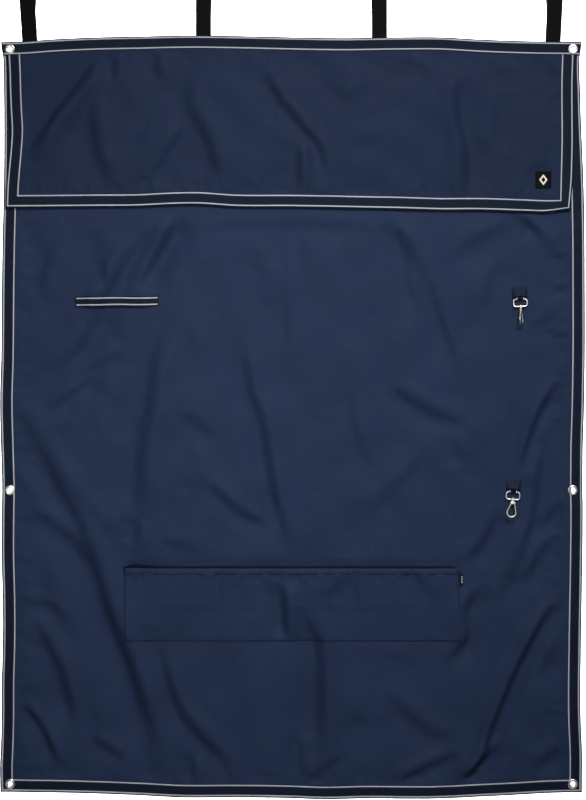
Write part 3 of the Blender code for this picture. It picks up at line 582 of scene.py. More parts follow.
PANEL_PUCKERS = (
    seam_puckers(3, (0.50, 1.88), -0.712, 46, 0.045, 1.5, False)
    + seam_puckers(5, (0.46, 1.88), 0.712, 50, -0.050, 1.7, False)
    + seam_puckers(7, (-0.68, 0.68), 1.903, 52, -0.036, 1.6, True)
    + seam_puckers(11, (-0.42, 0.42), 1.366, 34, 0.020, 1.2, True)
    + seam_puckers(13, (-0.66, 0.66), 0.448, 30, 0.028, 1.2, True)
)
FLAP_PUCKERS = (
    seam_puckers(17, (-0.66, 0.66), 0.401, 52, -0.034, 1.6, True)
    + seam_puckers(19, (-0.68, 0.68), 0.037, 44, 0.028, 1.3, True)
    + seam_puckers(23, (0.06, 0.38), -0.692, 10, 0.030, 1.1, False)
    + seam_puckers(29, (0.06, 0.38), 0.692, 12, -0.032, 1.3, False)
)


# Each crease's steep side looks away from this flat place
LIE_CENTRE = np.array([0.20, -0.60])
# Rolling of the cloth: seed, shortest and longest span, number of waves, height, in metres
PANEL_ROLLS = [(41, 0.10, 0.22, 14, 0.0032), (53, 0.05, 0.10, 16, 0.0009)]
FLAP_ROLLS = [(43, 0.10, 0.24, 12, 0.0028), (59, 0.05, 0.10, 16, 0.0008)]


def folds_at(folds, across, drop, deeper=1.0, wider=1.0):
    """Height that the creases give the cloth, towards the front; each one's steep side looks outwards."""
    across, drop = np.broadcast_arrays(np.asarray(across, float), np.asarray(drop, float))
    flat_u, flat_d = across.ravel(), drop.ravel()
    total = np.zeros(flat_u.size)
    for points, depth, width in folds:
        line = rounded_path(points)
        depth, width = depth * deeper / 1000.0, width * wider / 1000.0
        margin = 6.5 * width
        course = line[-1] - line[0]
        inward = LIE_CENTRE - line[len(line) // 2]
        turn = 1.0 if inward[0] * course[1] - inward[1] * course[0] > 0 else -1.0
        near = np.nonzero(
            (flat_u > line[:, 0].min() - margin) & (flat_u < line[:, 0].max() + margin)
            & (flat_d > line[:, 1].min() - margin) & (flat_d < line[:, 1].max() + margin)
        )[0]
        if not near.size:
            continue
        here = np.stack([flat_u[near], flat_d[near]], 1)
        best = np.full(near.size, 1e9)
        side = np.zeros(near.size)
        run = np.zeros(near.size)
        steps = np.linalg.norm(np.diff(line, axis=0), axis=1)
        starts = np.concatenate([[0.0], np.cumsum(steps)])
        for k, (a, b) in enumerate(zip(line[:-1], line[1:])):
            way = (b - a) / steps[k]
            offset = here - a
            t = offset @ way
            clipped = np.clip(t, 0, steps[k])
            gap = offset - clipped[:, None] * way
            distance = np.hypot(gap[:, 0], gap[:, 1])
            closer = distance < best
            best = np.where(closer, distance, best)
            cross = offset[:, 0] * way[1] - offset[:, 1] * way[0]
            side = np.where(closer, np.sign(cross), side)
            run = np.where(closer, (starts[k] + t) / starts[-1], run)
        s = best * side * turn / width
        taper = smoothstep(-0.08, 0.26, run) * smoothstep(-0.08, 0.30, 1 - run)
        shape = 0.62 * np.exp(-((s - 1.8) / 1.3) ** 2) - 0.85 * np.exp(-((s / np.where(s > 0, 1.0, 2.2)) ** 2))
        total[near] += depth * shape * taper
    return total.reshape(across.shape)


def rolling(seed, across, drop, shortest, longest, count):
    """Gentle rolling of the cloth, between about -1 and 1."""
    rng = np.random.default_rng(seed)
    total = 0.0
    for _ in range(count):
        turn, span, phase = rng.uniform(0, pi), rng.uniform(shortest, longest), rng.uniform(0, 2 * pi)
        total = total + np.cos((across * cos(turn) + drop * sin(turn)) * 2 * pi / span + phase)
    return total / count**0.5 / 1.4


def pinned(across, drop, spots):
    """1 away from every spot (across, drop, inner radius, outer radius), and 0 at it."""
    share = 1.0
    for u, d, inner, outer in spots:
        share = share * smoothstep(inner, outer, np.hypot(across - u, drop - d))
    return share


EYELET_SPOTS = [(p.x, HEM_Z - p.z, 0.014, 0.055) for p in EYELETS.values()]
BROAD_SPOTS = EYELET_SPOTS + [(x, drop + 0.015, 0.045, 0.150) for x, drop, _, _ in HOOKS.values()]
HARDWARE_SPOTS = EYELET_SPOTS + [(x, drop + 0.012, 0.034, 0.075) for x, drop, _, _ in HOOKS.values()]
HARDWARE_SPOTS += [(x, drop + 0.055, 0.016, 0.055) for x, drop, _, _ in HOOKS.values()]
BADGE_SPOT = [(BADGE.x, HEM_Z - BADGE.z, 0.032, 0.062)]


def swell(across, drop):
    """Broad lie of the whole curtain, shared by the panel and the flap."""
    roll = rolling(31, across, drop, 0.45, 0.95, 9) * 0.0022
    return roll * smoothstep(0.03, 0.16, drop) * pinned(across, drop, BROAD_SPOTS)


def pocket_seams(across, drop):
    """How far the sewn lines of the pocket draw the cloth in."""
    s = sizes()
    inside_d = smoothstep(s.pocket_top - 0.004, s.pocket_top + 0.006, drop) * (
        1 - smoothstep(s.pocket_bottom, s.pocket_bottom + 0.004, drop))
    inside_u = smoothstep(s.pocket_left - 0.004, s.pocket_left, across) * (
        1 - smoothstep(s.pocket_right, s.pocket_right + 0.004, across))
    lines = 0.0
    for place in (s.pocket_left, *POCKET_DIVIDERS, s.pocket_right):
        lines = lines + np.exp(-(((across - place) / 0.0060) ** 2)) * inside_d
    return lines + np.exp(-(((drop - s.pocket_bottom) / 0.0060) ** 2)) * inside_u


def panel_height(across, drop):
    """How far the main cloth stands forward of its flat plane."""
    s = sizes()
    free = smoothstep(0.437, 0.500, drop)
    rough = folds_at(PANEL_FOLDS, across, drop, 2.05, 1.45) * (1 + 0.42 * smoothstep(1.2, 1.7, drop))
    rough = rough + folds_at(PANEL_PUCKERS, across, drop)
    for seed, shortest, longest, count, height in PANEL_ROLLS:
        rough = rough + rolling(seed, across, drop, shortest, longest, count) * height
    edge = 0.10 + 0.90 * (1 - smoothstep(0.690, 0.720, np.abs(across)))
    edge = edge * (0.10 + 0.90 * (1 - smoothstep(1.885, 1.912, drop)))
    rough = rough * edge * free
    hollow = np.exp(-(((drop - s.pocket_top + 0.007) / 0.009) ** 2))
    hollow = hollow * smoothstep(s.pocket_left - 0.02, s.pocket_left + 0.02, across)
    hollow = hollow * (1 - smoothstep(s.pocket_right - 0.02, s.pocket_right + 0.02, across))
    belly = 0.0022 * free * pinned(across, drop, BROAD_SPOTS)
    height = rough - 0.0030 * hollow - 0.0006 * pocket_seams(across, drop)
    return swell(across, drop) + belly + height * pinned(across, drop, HARDWARE_SPOTS)


def flap_height(across, drop):
    """How far the flap's cloth stands forward of its flat plane, never behind it."""
    rough = folds_at(FLAP_FOLDS, across, drop, 2.2, 1.5) + folds_at(FLAP_PUCKERS, across, drop)
    for seed, shortest, longest, count, height in FLAP_ROLLS:
        rough = rough + rolling(seed, across, drop, shortest, longest, count) * height
    inner = (1 - smoothstep(0.672, 0.700, np.abs(across))) * (1 - smoothstep(0.386, 0.408, drop))
    rough = rough * (0.12 + 0.88 * inner)
    lift = 0.0060 * smoothstep(0.03, 0.14, drop) * (1 - 0.72 * smoothstep(0.31, 0.42, drop))
    lift = lift * (0.30 + 0.70 * (1 - smoothstep(0.64, 0.728, np.abs(across))))
    corner = 0.0045 * np.exp(-((across - 0.725) / 0.050) ** 2 - ((drop - 0.434) / 0.055) ** 2)
    corner = corner + 0.0035 * np.exp(-((across + 0.725) / 0.060) ** 2 - ((drop - 0.434) / 0.060) ** 2)
    room = 0.0022
    height = lift + rough + room
    # a soft floor keeps the flap in front of the cloth behind it
    height = 0.5 * (height + np.sqrt(height**2 + 0.0010**2)) - room
    height = height * pinned(across, drop, HARDWARE_SPOTS + BADGE_SPOT)
    return swell(across, drop) + (height + corner) * smoothstep(0.034, 0.064, drop)


def hang(across, drop, depth, flap=False, height=None):
    """World points of flat cloth places, at this depth before the cloth's own lie is added."""
    across, drop = np.broadcast_arrays(np.asarray(across, float), np.asarray(drop, float))
    if height is None:
        height = (flap_height if flap else panel_height)(across, drop)
    top = wave(TOP_WAVE, across) * (1 - smoothstep(0.02, 0.36, drop))
    left, right = (FLAP_LEFT_WAVE, FLAP_RIGHT_WAVE) if flap else (LEFT_WAVE, RIGHT_WAVE)
    side = wave(left, drop) * smoothstep(-0.60, -0.70, across) + wave(right, drop) * smoothstep(0.60, 0.70, across)
    if flap:
        foot = wave(FLAP_BOTTOM_WAVE, across) * smoothstep(0.18, 0.40, drop)
        curl = smoothstep(0.640, 0.728, across) * smoothstep(0.398, 0.434, drop)
        foot = foot - 0.0080 * curl
        side = side - 0.0062 * smoothstep(0.690, 0.728, across) * smoothstep(0.33, 0.434, drop)
    else:
        foot = wave(BOTTOM_WAVE, across) * smoothstep(1.55, 1.90, drop)
    return np.stack([across + side, np.asarray(depth) - height, HEM_Z - drop - top - foot], -1)


def flat_place(point, flap=False):
    """The flat cloth place that hangs at this point."""
    u, d = point.x, HEM_Z - point.z
    for _ in range(8):
        x, _, z = hang(u, d, 0.0, flap, height=np.zeros(()))
        u, d = u + point.x - float(x), d + float(z) - point.z
    return u, d


# ---------------------------------------------------------------- making meshes

def mesh_piece(name, points, faces, uv=None, materials=("navy_cloth",), picks=None, smooth=True):
    """A new piece from points, faces, one flat coordinate for each point, and material picks."""
    mesh = bpy.data.meshes.new(name)
    mesh.from_pydata([tuple(map(float, p)) for p in points], [], [tuple(map(int, f)) for f in faces])
    if uv is not None:
        layer = mesh.uv_layers.new(name="cloth lengths")
        corner = np.empty(len(mesh.loops), np.int32)
        mesh.loops.foreach_get("vertex_index", corner)
        layer.data.foreach_set("uv", np.asarray(uv, np.float32)[corner].ravel())
    for key in materials:
        mesh.materials.append(finish_of(key))
    if picks is not None:
        mesh.polygons.foreach_set("material_index", np.asarray(picks, np.int32))
    mesh.polygons.foreach_set("use_smooth", [smooth] * len(mesh.polygons))
    mesh.update()
    piece = bpy.data.objects.new(name, mesh)
    bpy.context.scene.collection.objects.link(piece)
    return piece


def thick_grid(front, back, uv, keep=None, picks=None):
    """Points, faces, flat coordinates and picks of a closed skin between two grids of points."""
    rows, columns = front.shape[:2]
    if keep is None:
        keep = np.ones((rows - 1, columns - 1), bool)
    count = rows * columns
    index = np.arange(count).reshape(rows, columns)
    a, b, c, d = index[:-1, :-1], index[:-1, 1:], index[1:, 1:], index[1:, :-1]
    cells = np.stack([a, b, c, d], -1)[keep]
    p, q, r = front[0, 0], front[0, 1], front[1, 0]
    flip = np.dot(np.cross(q - p, r - p), p - back[0, 0]) <= 0
    faces = [f[::-1] if flip else f for f in cells]
    faces += [(f + count) if flip else (f[::-1] + count) for f in cells]
    kept = np.zeros((rows + 1, columns + 1), bool)
    kept[1:-1, 1:-1] = keep
    walls = []
    for i in range(rows):
        for j in range(columns - 1):
            above, under = kept[i, j + 1], kept[i + 1, j + 1]
            if above != under:
                e, f = index[i, j], index[i, j + 1]
                walls.append((f, e, e + count, f + count) if under else (e, f, f + count, e + count))
    for i in range(rows - 1):
        for j in range(columns):
            before, after = kept[i + 1, j], kept[i + 1, j + 1]
            if before != after:
                e, f = index[i, j], index[i + 1, j]
                walls.append((e, f, f + count, e + count) if after else (f, e, e + count, f + count))
    faces += [w[::-1] if flip else w for w in walls]
    points = np.vstack([front.reshape(-1, 3), back.reshape(-1, 3)])
    coordinates = np.vstack([uv.reshape(-1, 2)] * 2)
    chosen = None
    if picks is not None:
        chosen = np.concatenate([picks[keep], picks[keep], np.zeros(len(walls), int)])
    return points, faces, coordinates, chosen


def joined_grids(name, parts, materials, smooth=True):
    """One piece from several closed skins."""
    points, faces, coordinates, chosen, shift = [], [], [], [], 0
    for part_points, part_faces, part_uv, part_picks in parts:
        points.append(part_points)
        faces += [tuple(int(v) + shift for v in f) for f in part_faces]
        coordinates.append(part_uv)
        chosen.append(np.zeros(len(part_faces), int) if part_picks is None else part_picks)
        shift += len(part_points)
    used = np.unique(np.concatenate([np.array(f) for f in faces]))
    every = np.vstack(points)
    place = np.full(len(every), -1)
    place[used] = np.arange(len(used))
    faces = [tuple(place[v] for v in f) for f in faces]
    return mesh_piece(name, every[used], faces, np.vstack(coordinates)[used], materials, np.concatenate(chosen), smooth)


def grid_lines(low, high, cell, exact=()):
    """Evenly spaced places from low to high that also pass through the exact ones."""
    stops = sorted({round(v, 6) for v in (low, high, *exact) if low - 1e-9 <= v <= high + 1e-9})
    lines = []
    for a, b in zip(stops[:-1], stops[1:]):
        lines += list(np.linspace(a, b, max(1, int(round((b - a) / cell))), endpoint=False))
    return np.array([*lines, stops[-1]])


def middles(lines):
    """Places half way between neighbouring lines."""
    return (lines[:-1] + lines[1:]) / 2


def outside_holes(rows, columns, holes):
    """True for each cell that isn't cut away round a hole (row place, column place)."""
    keep = np.ones((len(rows), len(columns)), bool)
    for row, column in holes:
        keep &= ~((np.abs(rows - row) < EYELET_CELL)[:, None] & (np.abs(columns - column) < EYELET_CELL)[None, :])
    return keep


def eyelet_cells(flap=False):
    """Flat places of the eyelets."""
    return [flat_place(p, flap) for p in EYELETS.values()]


def finish_piece(piece, body, nodes):
    """Hide the frame's pieces this piece takes the place of, and attach it to the body it rides on."""
    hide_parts(*nodes)
    if body:
        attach(piece, body)
    return piece


def soft_piece(name, skins, body, nodes, slot_name, materials=None, smooth=True):
    """A piece made of closed skins, in its slot's own material where no others are given."""
    return finish_piece(joined_grids(name, skins, materials or [slot_name], smooth), body, nodes)


def hung_skin(u, d, front, back, lie, uv, flap=False, keep=None, picks=None):
    """A closed skin that hangs with the cloth, between a front and a back depth."""
    return thick_grid(hang(u, d, front, flap, lie), hang(u, d, back, flap, lie), uv, keep, picks)


def edge_point(edge, along, inset, flap):
    """Flat place at a distance along an edge and an inset from it."""
    half, foot = (FLAP_HALF, FLAP_BOTTOM) if flap else (HALF, HEIGHT)
    if edge == "left":
        return -half + inset, along
    if edge == "right":
        return half - inset, along
    if edge == "bottom":
        return along, foot - inset
    return along, inset


def taped_edge(edge, low, high, mitres, front, back, flap=False):
    """A tape folded over one edge: its front run, the fold and its back run, as a closed skin."""
    holes = []
    for u, d in eyelet_cells(flap):
        if edge in ("left", "right"):
            along, inset = d, (u + HALF if edge == "left" else HALF - u)
        else:
            along, inset = u, (HEIGHT - d if edge == "bottom" else d)
        if not flap and 0.0 < inset < TAPE_WIDTH and low - 0.01 < along < high + 0.01:
            holes.append((along, inset))
    exact_along = [a + k * EYELET_CELL for a, _ in holes for k in (-1, 1)]
    alongs = grid_lines(low, high, sizes().tape_cell, exact_along)
    exact_inset = sorted({round(max(0.0012, i + k * EYELET_CELL), 5) for _, i in holes for k in (-1, 1)
                          if i + k * EYELET_CELL < TAPE_WIDTH - 0.0005})
    inset_run = grid_lines(FOLD_ROUND, TAPE_WIDTH, 0.0055, exact_inset)[::-1]
    middle, half_depth = (front + back) / 2, abs(back - front) / 2
    bends = [-pi / 2 + pi * k / 6 for k in range(1, 6)]
    section = [(a, front, a, front + TAPE) for a in inset_run]
    for bend in bends:
        out_a = FOLD_ROUND * (1 - cos(bend))
        out_y = middle + half_depth * sin(bend)
        in_y = middle + (half_depth - TAPE) * sin(bend)
        section.append((out_a, out_y, out_a + TAPE * cos(bend), in_y))
    section += [(a, back, a, back - TAPE) for a in inset_run[::-1]]
    section = np.array(section)
    outer_a, inner_a = section[:, 0][None, :], section[:, 2][None, :]
    share = ((alongs - low) / (high - low))[:, None]
    start, end = low + outer_a * mitres[0], high - outer_a * mitres[1]
    runs = np.where(share < 0.5, np.maximum(alongs[:, None], start), np.minimum(alongs[:, None], end))
    grids = []
    for inset, depth in ((outer_a, section[:, 1]), (inner_a, section[:, 3])):
        u, d = edge_point(edge, runs, np.broadcast_to(inset, runs.shape), flap)
        grids.append(hang(u, d, depth[None, :], flap))
    keep = outside_holes(middles(alongs), middles(section[:, 0]), holes)
    uv = np.stack([runs, np.broadcast_to(outer_a, runs.shape)], -1)
    return thick_grid(grids[0], grids[1], uv, keep)


def piped_line(edge, inset, low, high, mitres, front, flap=False, height=0.0006):
    """A rounded light line at this inset from an edge, as a closed skin."""
    half = sizes().piping_width / 2
    places = np.array([-1.0, -0.8, -0.35, 0.35, 0.8, 1.0])
    rise = np.array([0.12, 0.62, 1.0, 1.0, 0.62, 0.12])
    insets = (inset - places * half)[None, :]
    alongs = grid_lines(low, high, sizes().tape_cell)[:, None]
    runs = np.clip(alongs, low + insets * mitres[0], high - insets * mitres[1])
    u, d = edge_point(edge, runs, np.broadcast_to(insets, runs.shape), flap)
    lie = (flap_height if flap else panel_height)(u, d)
    uv = np.stack([runs, np.broadcast_to(insets, runs.shape)], -1)
    return hung_skin(u, d, (front + height * (1 - rise))[None, :], front + height + 0.0002, lie, uv, flap)


# ---------------------------------------------------------------- soft pieces

class CURTAIN_OT_cloth(Operator):
    """Hang the main cloth, with its folds and its eyelet holes"""

    bl_idname = "curtain.cloth"
    bl_label = "Main cloth"

    def execute(self, context):
        inset = CLOTH_INSET
        holes = eyelet_cells()
        lines_u = grid_lines(-HALF + inset, HALF - inset, sizes().cell,
                             [u + k * EYELET_CELL for u, _ in holes for k in (-1, 1)])
        lines_d = grid_lines(inset, HEIGHT - inset, sizes().cell,
                             [d + k * EYELET_CELL for _, d in holes for k in (-1, 1)])
        d, u = np.meshgrid(lines_d, lines_u, indexing="ij")
        keep = outside_holes(middles(lines_d), middles(lines_u), [(hole_d, hole_u) for hole_u, hole_d in holes])
        skin = hung_skin(u, d, PANEL_FRONT, PANEL_BACK, panel_height(u, d), np.stack([u, d], -1), keep=keep)
        piece = soft_piece("main_cloth", [skin], "curtain", ["main_panel"], "navy_cloth")
        return {"FINISHED"}


class CURTAIN_OT_bindings(Operator):
    """Fold the four binding tapes over the cloth's edges and lay their light lines"""

    bl_idname = "curtain.bindings"
    bl_label = "Bindings and piping"

    def execute(self, context):
        side_top = TAPE_WIDTH + GAP
        runs = {
            "top": (-HALF, HALF, (0.0, 0.0), FLAP_TAPE_FRONT),
            "left": (side_top, HEIGHT, (0.0, 1.0), SIDE_TAPE_FRONT),
            "right": (side_top, HEIGHT, (0.0, 1.0), SIDE_TAPE_FRONT),
            "bottom": (-HALF, HALF, (1.0, 1.0), SIDE_TAPE_FRONT),
        }
        for edge, (low, high, mitres, front) in runs.items():
            skin = taped_edge(edge, low, high, mitres, front, HEM_BACK)
            piece = soft_piece(f"{edge}_tape", [skin], "curtain", [f"{edge}_binding"], "navy_tape")
        for kind, inset in (("outer", OUTER_PIPING_INSET), ("inner", INNER_PIPING_INSET)):
            line = piped_line("top", inset, -HALF + 0.001, HALF - 0.001, (0, 0), FLAP_PIPING_FRONT)
            soft_piece(f"top_{kind}_line", [line], "curtain", [f"top_{kind}_piping"], "light_piping")
            parts = [
                piped_line("left", inset, side_top, HEIGHT, (0, 1), SIDE_PIPING_FRONT),
                piped_line("right", inset, side_top, HEIGHT, (0, 1), SIDE_PIPING_FRONT),
                piped_line("bottom", inset, -HALF, HALF, (1, 1), SIDE_PIPING_FRONT),
            ]
            soft_piece(f"side_{kind}_line", parts, "curtain", [f"side_{kind}_piping"], "light_piping")
        return {"FINISHED"}


class CURTAIN_OT_flap(Operator):
    """Hang the top flap, with its tapes and its light lines"""

    bl_idname = "curtain.flap"
    bl_label = "Top flap"

    def execute(self, context):
        lines_u = grid_lines(-FLAP_HALF + CLOTH_INSET, FLAP_HALF - CLOTH_INSET, 0.0070)
        lines_d = grid_lines(FLAP_TUCK, FLAP_BOTTOM - CLOTH_INSET, 0.0058, [0.034, FLAP_TAPE_START])
        d, u = np.meshgrid(lines_d, lines_u, indexing="ij")
        lie = flap_height(u, d)
        # the tucked part leaves the top eyelets free
        keep = ~((middles(lines_d) < 0.0385)[:, None] & (np.abs(middles(lines_u)) > 0.706)[None, :])
        skin = hung_skin(u, d, FLAP_FRONT, FLAP_BACK, lie, np.stack([u, d + 3.0], -1), True, keep)
        # the flap is finished in the darkened copy of the cloth, painted shade
        piece = soft_piece("flap_cloth", [skin], None, ["flap_panel"], "navy_cloth", ["flap_cloth"])
        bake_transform(piece)
        runs = {
            "left": (FLAP_TAPE_START, FLAP_BOTTOM, (0.0, 1.0)),
            "right": (FLAP_TAPE_START, FLAP_BOTTOM, (0.0, 1.0)),
            "bottom": (-FLAP_HALF, FLAP_HALF, (1.0, 1.0)),
        }
        for edge, (low, high, mitres) in runs.items():
            skin = taped_edge(edge, low, high, mitres, FLAP_TAPE_FRONT, FLAP_TAPE_BACK, flap=True)
            piece = soft_piece(f"flap_{edge}_tape", [skin], None, [f"flap_{edge}_binding"], "navy_tape")
            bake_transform(piece)
        for kind, line_inset in (("outer", OUTER_PIPING_INSET), ("inner", INNER_PIPING_INSET)):
            parts = [
                piped_line("left", line_inset, FLAP_TAPE_START, FLAP_BOTTOM, (0, 1), FLAP_PIPING_FRONT, True),
                piped_line("right", line_inset, FLAP_TAPE_START, FLAP_BOTTOM, (0, 1), FLAP_PIPING_FRONT, True),
                piped_line("bottom", line_inset, -FLAP_HALF, FLAP_HALF, (1, 1), FLAP_PIPING_FRONT, True),
            ]
            piece = soft_piece(f"flap_{kind}_line", parts, None, [f"flap_{kind}_piping"], "light_piping")
            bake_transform(piece)
        return {"FINISHED"}


def pocket_lift(across, drop):
    """How far the pocket's cloth stands off the main cloth."""
    s = sizes()
    down = np.clip((drop - s.pocket_top) / (s.pocket_bottom - s.pocket_top), 0, 1)
    seams = (s.pocket_left, *POCKET_DIVIDERS, s.pocket_right)
    bulge = 0.0
    for a, b in zip(seams[:-1], seams[1:]):
        place = np.clip((across - a) / (b - a), 0, 1)
        bulge = bulge + (np.clip(np.sin(pi * place), 0, 1) ** 0.34) * ((across >= a) & (across < b))
    gape = s.pocket_gape * (1 - down) ** 1.8 + 0.0030 * np.sin(pi * down) ** 0.8
    return 0.0002 + (0.0020 * (1 - down) + gape) * bulge


class CURTAIN_OT_pocket(Operator):
    """Sew the three-part pocket and its turned hem, lay a dark strip above its mouth as painted shade, and add the side
    label
    """

    bl_idname = "curtain.pocket"
    bl_label = "Pocket"

    def execute(self, context):
        s = sizes()
        lines_u = grid_lines(s.pocket_left, s.pocket_right, 0.0055, POCKET_DIVIDERS)
        lines_d = grid_lines(s.pocket_top, s.pocket_bottom, 0.0050)
        d, u = np.meshgrid(lines_d, lines_u, indexing="ij")
        lie = panel_height(u, d)
        folds = folds_at(seam_puckers(47, (-0.42, 0.42), 1.378, 34, 0.022, 1.3, True), u, d)
        rise = pocket_lift(u, d)
        rise = rise + np.maximum(folds, -0.6 * rise) * smoothstep(0.0, 0.004, rise)
        sewn = np.minimum(np.minimum(u - s.pocket_left, s.pocket_right - u), s.pocket_bottom - d)
        front = PANEL_FRONT - 0.0003 - 0.0005 * smoothstep(0.0, 0.014, sewn) - rise
        skin = hung_skin(u, d, front, PANEL_FRONT - 0.0002 - rise, lie, np.stack([u, d + 5.0], -1))
        pouch = soft_piece("pocket_cloth", [skin], "curtain", ["pocket_pouch"], "navy_cloth")

        hem_d = np.linspace(s.pocket_top - 0.0012, s.pocket_top + 0.0150, 6)
        d, u = np.meshgrid(hem_d, lines_u, indexing="ij")
        lie = panel_height(u, d)
        rise = pocket_lift(u, np.maximum(d, s.pocket_top)) + 0.0008
        rise = rise + np.array([-0.0009, 0.0001, 0.0003, 0.0003, 0.0000, -0.0007])[:, None]
        rise = rise + 0.0004 * np.sin(u * 310.0 + 3.0 * np.sin(u * 47.0)) * smoothstep(0.0, 0.006, d - s.pocket_top)
        skin = hung_skin(u, d, PANEL_FRONT - 0.0008 - rise, PANEL_FRONT + 0.0001 - rise, lie,
                         np.stack([u, d + 6.0], -1))
        hem = soft_piece("pocket_hem_fold", [skin], "curtain", ["pocket_hem"], "navy_cloth")

        # painted shade: a dark strip laid in the cloth's hollow just above the pocket's mouth, where the shade falls
        lines_u = grid_lines(s.pocket_left - 0.002, s.pocket_right - 0.004, 0.0080)
        share = np.linspace(0, 1, 5)[:, None]
        upper = s.pocket_top - 0.0066 - 0.0050 * np.exp(-(((lines_u + 0.402) / 0.026) ** 2))
        upper = upper + 0.006 * smoothstep(0.41, 0.43, lines_u) + 0.004 * smoothstep(-0.415, -0.433, lines_u)
        upper = upper + 0.0006 * np.sin(lines_u * 31.0) * np.sin(lines_u * 9.0 + 1.0)
        d = upper[None, :] + (s.pocket_top + 0.010 - upper[None, :]) * share
        u = np.broadcast_to(lines_u[None, :], d.shape)
        skin = hung_skin(u, d, PANEL_FRONT - 0.0010, PANEL_FRONT - 0.0003, panel_height(u, d),
                         np.stack([u, d + 7.0], -1))
        mouth_shade = joined_grids("pocket_mouth_shade_strip", [skin], ["painted_mouth_shade"])
        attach(mouth_shade, "curtain")

        low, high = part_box("side_label")
        lines_u = np.linspace(low.x, high.x, 7)
        lines_d = np.linspace(HEM_Z - high.z, HEM_Z - low.z, 16)
        d, u = np.meshgrid(lines_d, lines_u, indexing="ij")
        curl = 0.0016 * ((u - low.x) / (high.x - low.x)) ** 2
        picks = np.zeros((15, 6), int)
        picks[3:12, 3:5] = 1
        picks[5, 3:5] = picks[8, 3:5] = 0
        skin = hung_skin(u, d, low.y - curl, high.y - curl, panel_height(u, d), np.stack([u, d], -1), picks=picks)
        label = soft_piece("side_label_tab", [skin], "curtain", ["side_label"], "label_satin",
                           ["label_ground", "label_mark"], smooth=False)
        # 2.5 mm of its flat width are sewn into the seam
        return {"FINISHED"}


class CURTAIN_OT_keeper(Operator):
    """Sew the keeper strip, a piped tape that stands off the cloth between its sewn ends"""

    bl_idname = "curtain.keeper"
    bl_label = "Keeper strip"

    def execute(self, context):
        low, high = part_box("keeper_strip")
        half = (high.z - low.z) / 2
        drop = sizes().keeper_drop
        lines_u = grid_lines(low.x, high.x, 0.0030)
        places = np.array([-1.0, -0.97, -0.7, -0.35, 0.0, 0.35, 0.7, 0.97, 1.0])

        def lie_of_strip(u):
            """The strip's tilt and wobble, and how free it is of the cloth, at this place along it."""
            tilt = -0.0024 * ((u - low.x) / (high.x - low.x) - 0.5)
            wobble = 0.0009 * np.sin((u - low.x) * 46.0) * smoothstep(0.02, 0.06, u - low.x)
            ends = smoothstep(0.010, 0.042, u - low.x) * smoothstep(0.010, 0.042, high.x - u)
            return tilt, wobble, ends

        u, v = np.meshgrid(lines_u, places, indexing="ij")
        tilt, wobble, ends = lie_of_strip(u)
        d = drop + v * half + tilt + wobble
        rise = 0.0004 + 0.0052 * ends + 0.0005 * (1 - v**2)
        skin = hung_skin(u, d, PANEL_FRONT - TAPE - rise, PANEL_FRONT - rise, panel_height(u, d),
                         np.stack([u, 0.010 + v * half], -1))
        strip = soft_piece("keeper_tape", [skin], "curtain", ["keeper_strip"], "navy_tape")
        lines = []
        shape = np.array([-1.0, -0.7, 0.0, 0.7, 1.0]) * sizes().piping_width / 2
        bulge = np.array([0.1, 0.7, 1.0, 0.7, 0.1]) * 0.0006
        for offset in (-0.0084, 0.0084):
            u, w = np.meshgrid(lines_u[1:-1], shape, indexing="ij")
            tilt, wobble, ends = lie_of_strip(u)
            d = drop + offset + w + tilt + wobble
            rise = 0.0004 + 0.0052 * ends + 0.0005 * (1 - (offset / half) ** 2) + TAPE
            lines.append(hung_skin(u, d, PANEL_FRONT - rise - bulge[None, :], PANEL_FRONT - rise + 0.0001,
                                   panel_height(u, d), np.stack([u, w], -1)))
        piping = joined_grids("keeper_lines", lines, ["light_piping"])
        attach(piping, "curtain")
        return {"FINISHED"}


def turned_frame(name):
    """The turning frames of a hook: its holder, ring, swivel and gate, as matrices."""
    x, drop, tilt, turn = HOOKS[name]
    holder = Matrix.Translation((x, PANEL_FRONT - 0.0050, HEM_Z - drop)) @ Matrix.Rotation(radians(tilt), 4, "Y")
    ring = holder @ Matrix.Rotation(-radians(HOOK_LEAN), 4, "X")
    swivel = ring @ Matrix.Translation((0, 0, -SWIVEL_DROP)) @ Matrix.Rotation(radians(turn), 4, "Z")
    gate = swivel @ Matrix.Translation((GATE_PIN[0], 0.0, GATE_PIN[1]))
    return holder, ring, swivel, gate


def placed(points, matrix):
    """Points moved by a matrix."""
    m = np.array(matrix)
    return points @ m[:3, :3].T + m[:3, 3]


